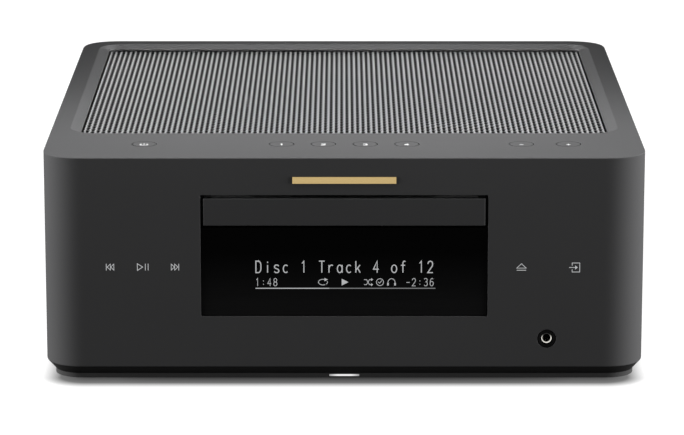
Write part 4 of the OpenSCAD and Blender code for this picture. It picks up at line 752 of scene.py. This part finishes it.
# stroke letters on a unit cell, y from 0 at the base line to 1 at the cap line
strokes = {
    "D": [[(0.08, 0), (0.08, 1), (0.45, 1)] + arc(0.45, 0.62, 0.43, 0.38, 90, 0, 6)
          + arc(0.45, 0.38, 0.43, 0.38, 0, -90, 6) + [(0.08, 0)]],
    "T": [[(0.05, 1), (0.95, 1)], [(0.5, 1), (0.5, 0)]],
    "a": [arc(0.47, 0.33, 0.38, 0.33, 0, 360, 18), [(0.86, 0.66), (0.86, 0)]],
    "c": [arc(0.52, 0.33, 0.4, 0.33, 48, 312)],
    "f": [[(0.85, 0.95), (0.72, 1), (0.56, 0.98), (0.46, 0.86), (0.46, 0)], [(0.14, 0.64), (0.8, 0.64)]],
    "i": [[(0.5, 0), (0.5, 0.66)], [(0.5, 0.84), (0.5, 0.95)]],
    "k": [[(0.16, 0), (0.16, 1)], [(0.82, 0.66), (0.2, 0.24)], [(0.42, 0.4), (0.86, 0)]],
    "o": [arc(0.5, 0.33, 0.41, 0.33, 0, 360, 18)],
    "r": [[(0.2, 0), (0.2, 0.66)], [(0.2, 0.4), (0.36, 0.58), (0.58, 0.66), (0.84, 0.62)]],
    "s": [[(0.84, 0.56), (0.68, 0.66), (0.34, 0.66), (0.16, 0.56), (0.17, 0.45), (0.32, 0.37),
           (0.7, 0.3), (0.86, 0.2), (0.84, 0.09), (0.66, 0), (0.32, 0), (0.13, 0.11)]],
    "1": [[(0.24, 0.8), (0.52, 1), (0.52, 0)]],
    "2": [[(0.1, 0.76), (0.22, 0.93), (0.5, 1), (0.78, 0.93), (0.88, 0.75), (0.8, 0.56),
           (0.1, 0), (0.92, 0)]],
    "3": [[(0.1, 0.88), (0.3, 0.99), (0.62, 0.99), (0.84, 0.87), (0.84, 0.68), (0.68, 0.55), (0.4, 0.53)],
          [(0.66, 0.54), (0.88, 0.4), (0.9, 0.2), (0.72, 0.03), (0.4, 0), (0.1, 0.12)]],
    "4": [[(0.68, 0), (0.68, 1), (0.08, 0.3), (0.94, 0.3)]],
    "6": [[(0.84, 0.9), (0.62, 1), (0.34, 0.92), (0.16, 0.66), (0.1, 0.3)],
          arc(0.5, 0.3, 0.4, 0.3, 0, 360, 18)],
    "8": [arc(0.5, 0.76, 0.35, 0.24, 0, 360, 18), arc(0.5, 0.26, 0.41, 0.26, 0, 360, 18)],
    ":": [[(0.5, 0.16), (0.5, 0.28)], [(0.5, 0.6), (0.5, 0.72)]],
    "-": [[(0.1, 0.46), (0.9, 0.46)]],
    "+": [[(0.05, 0.46), (0.95, 0.46)], [(0.5, 0.01), (0.5, 0.91)]],
}


# hand: step from letter to letter, width and height of a letter, and pen width
def writeLine(mesh, words, left, base, hand, place):
    for k, letter in enumerate(words):
        for stroke in strokes.get(letter, []):
            start = left + k * hand["step"]
            line = [(start + x * hand["wide"], base + y * hand["tall"]) for x, y in stroke]
            ribbon(mesh, line, hand["pen"], place)


# lit text, small signs and progress line behind the window face
readout = {"face": 0.4, "left": -41.2, "words": "Disc 1 Track 4 of 12", "wordsZ": 56.55,
           "large": {"step": 4.19, "wide": 2.9, "tall": 5.5, "pen": 0.48},
           "small": {"step": 2.75, "wide": 1.9, "tall": 3.6, "pen": 0.28},
           "rowZ": 50.2, "gone": "1:48", "toGo": "-2:36", "toGoX": 28.6,
           "lineZ": 49.05, "lineH": 0.42, "lineEnd": 42.3, "share": 0.41}
readoutSigns = {
    "play": {"x": 0, "fills": [[(-1.2, -1.6), (1.9, 0), (-1.2, 1.6)]]},
    "repeat": {"x": -9.9, "lines": [arc(0, 0, 2.1, 1.35, 60, 300), arc(0, 0, 2.1, 1.35, 20, -45, 6)],
               "fills": [[(0.7, 0.4), (2.3, 1.2), (0.7, 2.0)]]},
    "shuffle": {"x": 10.95, "lines": [[(-1.75, -1.2), (-0.65, -1.2), (0.75, 1.2), (1.65, 1.2)],
                                      [(-1.75, 1.2), (-0.65, 1.2), (0.75, -1.2), (1.65, -1.2)]],
                "fills": [[(1.45, -1.9), (2.45, -1.2), (1.45, -0.5)],
                          [(1.45, 0.5), (2.45, 1.2), (1.45, 1.9)]]},
    "timer": {"x": 16.55, "lines": [arc(0, 0, 1.65, 1.65, 0, 360, 22),
                                    [(-0.85, 0.1), (-0.15, -0.5), (0.85, 0.8)]]},
    "headphones": {"x": 21.9, "lines": [arc(0, -0.2, 1.65, 1.85, 0, 180)],
                   "fills": [box(-2.025, -1.275, -1.6, -0.3), box(1.275, 2.025, -1.6, -0.3)]},
}


def buildReadout():
    r, small, mesh, rest = readout, readout["small"], bmesh.new(), bmesh.new()
    flat = onFront(0, 0, r["face"])
    writeLine(mesh, r["words"], r["left"], r["wordsZ"], r["large"], flat)
    writeLine(mesh, r["gone"], r["left"], r["rowZ"], small, flat)
    writeLine(mesh, r["toGo"], r["toGoX"], r["rowZ"], small, flat)
    for sign in readoutSigns.values():
        drawSign(mesh, sign, small["pen"], onFront(sign["x"], r["rowZ"] + small["tall"] / 2, r["face"]))
    split = r["left"] + (r["lineEnd"] - r["left"]) * r["share"]
    low, high = r["lineZ"] - r["lineH"] / 2, r["lineZ"] + r["lineH"] / 2
    patch(mesh, box(r["left"], split, low, high), flat)
    patch(rest, box(split, r["lineEnd"], low, high), flat)
    dress(makeObject("readoutText", mesh), litText, "cabinet")
    dress(makeObject("readoutLine", rest), litDim, "cabinet")


buildReadout()

# lit touch signs on the front
touchRow = {"z": 59.3, "pen": 0.3}
skipLines = [loop((-1.7, -1.44), (-0.2, 0), (-1.7, 1.44)), loop((-0.1, -1.44), (1.4, 0), (-0.1, 1.44)),
             [(1.8, -1.6), (1.8, 1.6)]]
touchSigns = {
    "previous": {"x": -108.5, "lines": [[(-x, y) for x, y in line] for line in skipLines]},
    "play": {"x": -93.4, "lines": [loop((-2.5, -1.6), (0, 0), (-2.5, 1.6)),
                                   [(1.2, -1.6), (1.2, 1.6)], [(2.5, -1.6), (2.5, 1.6)]]},
    "next": {"x": -78.5, "lines": skipLines},
    "eject": {"x": 82.1, "lines": [loop((-2.2, -0.5), (0, 1.6), (2.2, -0.5)), [(-2.2, -1.5), (2.2, -1.5)]]},
    "input": {"x": 106.8, "up": -0.2, "fills": [[(0.2, -1.0), (1.4, 0), (0.2, 1.0)]],
              "lines": [[(-1.2, 0.9), (-1.2, 2.15), (2.3, 2.15), (2.3, -2.15), (-1.2, -2.15), (-1.2, -0.9)],
                        [(-2.6, 0), (0.6, 0)]]},
}


def buildTouchSigns():
    mesh = bmesh.new()
    for sign in touchSigns.values():
        drawSign(mesh, sign, touchRow["pen"], onFront(sign["x"], touchRow["z"] + sign.get("up", 0)))
    dress(makeObject("touchSigns", mesh), litSigns, "cabinet")


buildTouchSigns()

# printed signs on the buttons; the power button has an open ring and a stroke
buttonSigns = {"face": 110.93, "forward": 0.8, "step": 0, "wide": 2.3, "tall": 3.1, "pen": 0.5,
               "words": {"preset_button_1": "1", "preset_button_2": "2", "preset_button_3": "3",
                         "preset_button_4": "4", "volume_down_button": "-", "volume_up_button": "+"},
               "power": {"lines": [arc(0, -0.15, 1.75, 1.75, 125, 415, 22), [(0, 0.2), (0, 2.1)]]}}


def buildButtonSigns():
    b = buttonSigns
    for name, x in buttonHoles["x"].items():
        mesh, flat = bmesh.new(), onTop(x, buttonHoles["y"] - b["forward"], b["face"])
        if name in b["words"]:
            writeLine(mesh, b["words"][name], -b["wide"] / 2, -b["tall"] / 2, b, flat)
        else:
            drawSign(mesh, b["power"], b["pen"], flat)
        dress(makeObject(name + "Sign", mesh), printedWhite, name)


buildButtonSigns()
print("signs made")

# screws at the back and under the base, with a cross drive
screws = {"headR": 2.8, "headH": 1.8, "brim": 0.5, "domeTurns": (20, 40, 60, 75), "shankR": 1.5,
          "slotL": 3.2, "slotW": 0.7, "slotDeep": 0.9, "panelShank": -7.4, "baseShank": -13.4, "baseZ": 6.8}


def screwHead(place, shankEnd):
    s, mesh, tools = screws, bmesh.new(), []
    profile = [(0, shankEnd), (s["shankR"], shankEnd), (s["shankR"], 0),
               (s["headR"], 0), (s["headR"], s["brim"])]
    for turn in s["domeTurns"]:
        a = math.radians(turn)
        profile.append((s["headR"] * math.cos(a), s["brim"] + (s["headH"] - s["brim"]) * math.sin(a)))
    turned(mesh, profile + [(0, s["headH"])], place, steps=32)
    head = makeObject("screw", mesh)
    for a, b in ((s["slotL"] / 2, s["slotW"] / 2), (s["slotW"] / 2, s["slotL"] / 2)):
        tool, low, high = bmesh.new(), s["headH"] - s["slotDeep"], s["headH"] + over
        loft(tool, [[place(u, v, h) for u, v in box(-a, a, -b, b)] for h in (low, high)])
        tools.append(makeObject("slotTool", tool))
    carve(head, tools)
    return head


def buildScrews(name, places, shankEnd, replaced):
    made = joinPieces(name, [screwHead(place, shankEnd) for place in places])
    smoothOver(made, angle=30)
    dress(made, screwZinc, "cabinet", [replaced])


panelPlaces = [behind(x, z, cabinet["depth"])
               for x in (-panelHoles["x"], panelHoles["x"]) for z in panelHoles["z"]]
basePlaces = [beneath(x, y, screws["baseZ"])
              for x in (-innerPosts["bossX"], innerPosts["bossX"]) for y in innerPosts["bossY"]]
buildScrews("panelScrewHeads", panelPlaces, screws["panelShank"], "panel_screws")
buildScrews("baseScrewHeads", basePlaces, screws["baseShank"], "base_screws")

# mains inlet pins with rounded tips; tip: share of the radius, and how far from the end
inletPins = {"x": -90, "z": 37.2, "pitch": 8.6, "radius": 1.26, "from": 288.4, "to": 297.6,
             "tip": [(1, 1.1), (0.9, 0.5), (0.55, 0.08), (0, 0)]}


def buildInletPins():
    p, mesh = inletPins, bmesh.new()
    length = p["to"] - p["from"]
    profile = [(0, 0), (p["radius"], 0)] + [(p["radius"] * share, length - left) for share, left in p["tip"]]
    for side in (-1, 1):
        turned(mesh, profile, behind(p["x"] + side * p["pitch"] / 2, p["z"], p["from"]), steps=24)
    made = makeObject("inletPins", mesh)
    smoothOver(made, angle=40)
    dress(made, shieldTin, "cabinet")


# coloured insulators in the line sockets
lineRings = {"x": -48, "z": 41.2, "pitch": 15, "face": 306,
             "profile": [(1.75, -0.4), (1.75, 0.02), (2.0, 0.1), (3.0, 0.1), (3.2, 0.02), (3.2, -0.4)]}


def buildLineRings(name, up, finish):
    r, mesh = lineRings, bmesh.new()
    z = r["z"] + up * r["pitch"] / 2
    for side in (-1, 1):
        place = behind(r["x"] + side * r["pitch"] / 2, z, r["face"])
        turned(mesh, r["profile"], place, steps=40, hollow=True)
    made = makeObject(name, mesh)
    smoothOver(made, angle=40)
    dress(made, finish, "cabinet")


# contacts in the network socket
lanContacts = {"x": 8, "count": 8, "pitch": 1.02, "half": 0.2, "from": 285.2, "to": 296,
               "low": 29.65, "high": 30.05}


def buildLanContacts():
    c, mesh = lanContacts, bmesh.new()
    for k in range(c["count"]):
        x = c["x"] + (k - (c["count"] - 1) / 2) * c["pitch"]
        blockMesh(mesh, x - c["half"], x + c["half"], c["from"], c["to"], c["low"], c["high"])
    dress(makeObject("lanContacts", mesh), contactGold, "cabinet")


# near-black foam sheet inside the vents, blocking the view through them: a dark sheet standing in for shade
# inside the cabinet
ventShadeFoam = {"halfW": 52, "low": 72, "high": 94, "front": 292.6, "back": 295.45, "edge": 0.8, "corner": 1.5}


def buildVentShadeFoam():
    f, mesh = ventShadeFoam, bmesh.new()
    path = [(down, f["front"] + side) for side, down in fillet(f["edge"], steps=3)] + [(0, f["back"])]
    loft(mesh, [uprightRing(f, -inset, f["corner"], y) for inset, y in path])
    made = makeObject("ventShadeFoam", mesh)
    smoothOver(made, angle=40)
    dress(made, shadeFoamBlack, "cabinet")


# plus and minus at the terminals; the upright stroke lies just over the other
terminalSigns = {"x": 66, "z": 46.2, "pitch": 22, "face": 301, "half": 1.4, "pen": 0.5, "upright": 0.021}


def buildTerminalSigns():
    t, half, mesh = terminalSigns, terminalSigns["half"], bmesh.new()
    plus, minus = [behind(t["x"] + side * t["pitch"] / 2, t["z"], t["face"]) for side in (-1, 1)]
    for place in (plus, minus):
        ribbon(mesh, [(-half, 0), (half, 0)], t["pen"], place)
    ribbon(mesh, [(0, -half), (0, half)], t["pen"], plus, thick=t["upright"])
    dress(makeObject("terminalSigns", mesh), printedWhite, "cabinet")


buildInletPins()
buildLineRings("lineRingsLow", -1, insulatorRed)
buildLineRings("lineRingsHigh", 1, insulatorWhite)
buildLanContacts()
buildVentShadeFoam()
buildTerminalSigns()
print("back fitted")


# solids that keep their shape: their finish, and how far their edges are rounded
solids = {
    "tray_front": (trayFace, 0.3), "display_window": (windowBlackFloorReflection, 0.22), "nameplate": (goldPlate, 0.12),
    "base_pan": (plinthShadedSkirt, 0.3), "light_bar": (litBar, 0.15), "disc_tray": (trayBlack, 0.25),
    "rear_panel": (panelPaint, 0.12), "ac_inlet": (socketBlack, 0.4), "terminal_block": (socketBlack, 0.6),
    "post_cap_1": (capRed, 0.3), "post_cap_2": (capBlack, 0.3),
    "post_cap_3": (capRed, 0.3), "post_cap_4": (capBlack, 0.3),
    "terminal_posts": (contactGold, 0.25), "line_sockets": (contactGold, 0.25),
    "lan_socket": (shieldTin, 0.15), "loader_chassis": (innerBlack, 0.25),
    "loader_brackets": (sheetSteel, 0.2), "clamp_bridge": (sheetSteel, 0.15),
    "clamp_puck": (puckBlack, 0.3), "traverse_frame": (innerBlack, 0.25),
    "spindle_motor": (motorSteel, 0.4), "turntable": (tableBlack, 0.2), "pickup_sled": (pickupAlloy, 0.3),
    "pickup_lens": (lensGlass, 0), "loader_motor": (motorSteel, 0.4), "sled_motor": (motorSteel, 0.4),
    "transformer": (windingTape, 0.8), "power_capacitors": (capSleeve, 0.8), "heat_sink": (sinkAlloy, 0.2),
    "main_board": (boardGreen, 0.1), "power_board": (boardGreen, 0.1), "amp_board": (boardGreen, 0.1),
    "display_board": (boardGreen, 0.1), "touch_boards": (boardGreen, 0.1), "key_board": (boardGreen, 0.1),
    "front_subframe": (innerBlack, 0.2), "display_module": (displayGlass, 0.2),
    "cam_slider": (acetalWhite, 0.2), "key_switches": (switchBlack, 0.15),
    "motor_pulley": (acetalWhite, 0), "pulley_gear": (acetalWhite, 0), "drive_gear": (acetalWhite, 0),
    "drive_belt": (beltRubber, 0), "guide_rods": (polishedRod, 0), "sled_leadscrew": (polishedRod, 0),
}
softEdge = {"flat": math.radians(0.4), "sharp": math.radians(50), "segments": 2}


def softenEdges(solid, width):
    weld = solid.modifiers.new("weld", "WELD")
    weld.merge_threshold = tiny
    plain = solid.modifiers.new("plainFaces", "DECIMATE")
    plain.decimate_type = "DISSOLVE"
    plain.angle_limit = softEdge["flat"]
    rounded = solid.modifiers.new("roundEdges", "BEVEL")
    rounded.limit_method = "ANGLE"
    rounded.angle_limit = softEdge["sharp"]
    rounded.width = width * mm
    rounded.segments = softEdge["segments"]
    even = solid.modifiers.new("evenNormals", "WEIGHTED_NORMAL")
    even.keep_sharp = True


for solidName, (finish, edge) in solids.items():
    solid = nodes[solidName]
    solid.data.materials.clear()
    solid.data.materials.append(finish)
    if edge:
        softenEdges(solid, edge)
print("solids finished:", len(solids))


# studio: pale floor that keeps the shadow, with a painted shadow under the object, white surround, soft lamps
# shade: half the size of the painted dark patch under the object, and how it fades outward
studio = {"floor": 3.0, "surround": 0.04, "paper": 0.19, "bounce": 0.08, "middleY": -0.00585,
          "shade": (0.1215, 0.127, 0.01), "stretch": (0.8, 1, 1), "reach": 0.02,
          "fade": ((0, 0.02), (0.5, 0.15), (0.9, 1))}


# 1 for rays that show the surround: straight from the camera, or by gloss or glass
def seenRays(tree):
    rays = tree.nodes.new("ShaderNodeLightPath").outputs
    seen = combine(tree, "MAXIMUM", rays["Is Camera Ray"], rays["Is Glossy Ray"])
    return combine(tree, "MAXIMUM", seen, rays["Is Transmission Ray"])


# distance outward from the dark patch, 0 inside it
def shadeDistance(tree):
    source = partCoords(tree)
    for kind, other in (("ABSOLUTE", {}), ("SUBTRACT", {1: studio["shade"]}), ("MAXIMUM", {}),
                        ("MULTIPLY", {1: studio["stretch"]}), ("LENGTH", {})):
        step = addNode(tree, "ShaderNodeVectorMath", {0: source, **other})
        step.operation = kind
        source = step.outputs[0]
    return step.outputs["Value"]


def buildFloor():
    half, mesh = studio["floor"], bmesh.new()
    mesh.faces.new([mesh.verts.new((x, y, 0)) for x, y in box(-half, half, -half, half)])
    floor = makeObject("studioFloor", mesh)
    floor.location.y = studio["middleY"]
    finish, tree, shader = newFinish("floorPaper")
    seen = seenRays(tree)
    # the paper runs out to white away from the object
    # painted shadow: the floor's glow stays low in a patch under the object, where the real shadow shows
    # through, and rises to white away from it
    away = ramp(tree, shadeDistance(tree), 0, studio["reach"])
    level = colorSteps(tree, away, [(place, (light, light, light)) for place, light in studio["fade"]])
    tune(shader, {"Base Color": ramp(tree, seen, 0, 1, studio["bounce"], studio["paper"]),
                  "Roughness": 0.9, "Specular IOR Level": 0, "Emission Color": (1, 1, 1, 1),
                  "Emission Strength": combine(tree, "MULTIPLY", seen, level)})
    floor.data.materials.append(finish)


def buildSurround():
    world = bpy.data.worlds.new("surround")
    world.use_nodes = True
    scene.world = world
    tree = world.node_tree
    tune(tree.nodes["Background"], {"Color": (1, 1, 1, 1),
                                    "Strength": ramp(tree, seenRays(tree), 0, 1, studio["surround"], 1)})


# one lamp over the front, two far ones at the sides, three narrow strips for the recess, one behind
lamps = {
    "over": {"place": (0, -0.14, 0.25), "aim": (0, -0.14, 0.1), "size": (0.5, 0.1), "power": 1.27},
    "leftSide": {"place": (-2.6, -0.35, 0.24), "aim": (0, -0.15, 0.07), "size": (0.72, 0.4), "power": 126},
    "rightSide": {"place": (2.6, -0.35, 0.24), "aim": (0, -0.15, 0.07), "size": (0.72, 0.4), "power": 146},
    "overFront": {"place": (0, -0.25, 0.16), "aim": (0, 0.14, 0.109), "size": (0.5, 0.02),
                  "power": 0.3, "spread": 24},
    "overLeft": {"place": (-0.26, 0.03, 0.16), "aim": (0.13, 0.03, 0.109), "size": (0.3, 0.02),
                 "power": 0.088, "spread": 24},
    "overRight": {"place": (0.26, 0.03, 0.16), "aim": (-0.13, 0.03, 0.109), "size": (0.3, 0.02),
                  "power": 0.088, "spread": 24},
    "behind": {"place": (0, 1.7, 0.32), "aim": (0, 0.15, 0.06), "size": (1.4, 0.5), "power": 14},
}


def buildLamps():
    for name, lamp in lamps.items():
        data = bpy.data.lights.new(name, "AREA")
        data.shape = "RECTANGLE"
        data.size, data.size_y = lamp["size"]
        data.energy = lamp["power"]
        data.spread = math.radians(lamp.get("spread", 180))
        made = bpy.data.objects.new(name, data)
        # the camera and polished parts see the white surround, not the lamps
        made.visible_glossy = made.visible_camera = False
        made.location = lamp["place"]
        way = Vector(lamp["aim"]) - Vector(lamp["place"])
        made.rotation_euler = way.to_track_quat("-Z", "Y").to_euler()
        scene.collection.objects.link(made)


buildFloor()
buildSurround()
buildLamps()
print("studio lit")
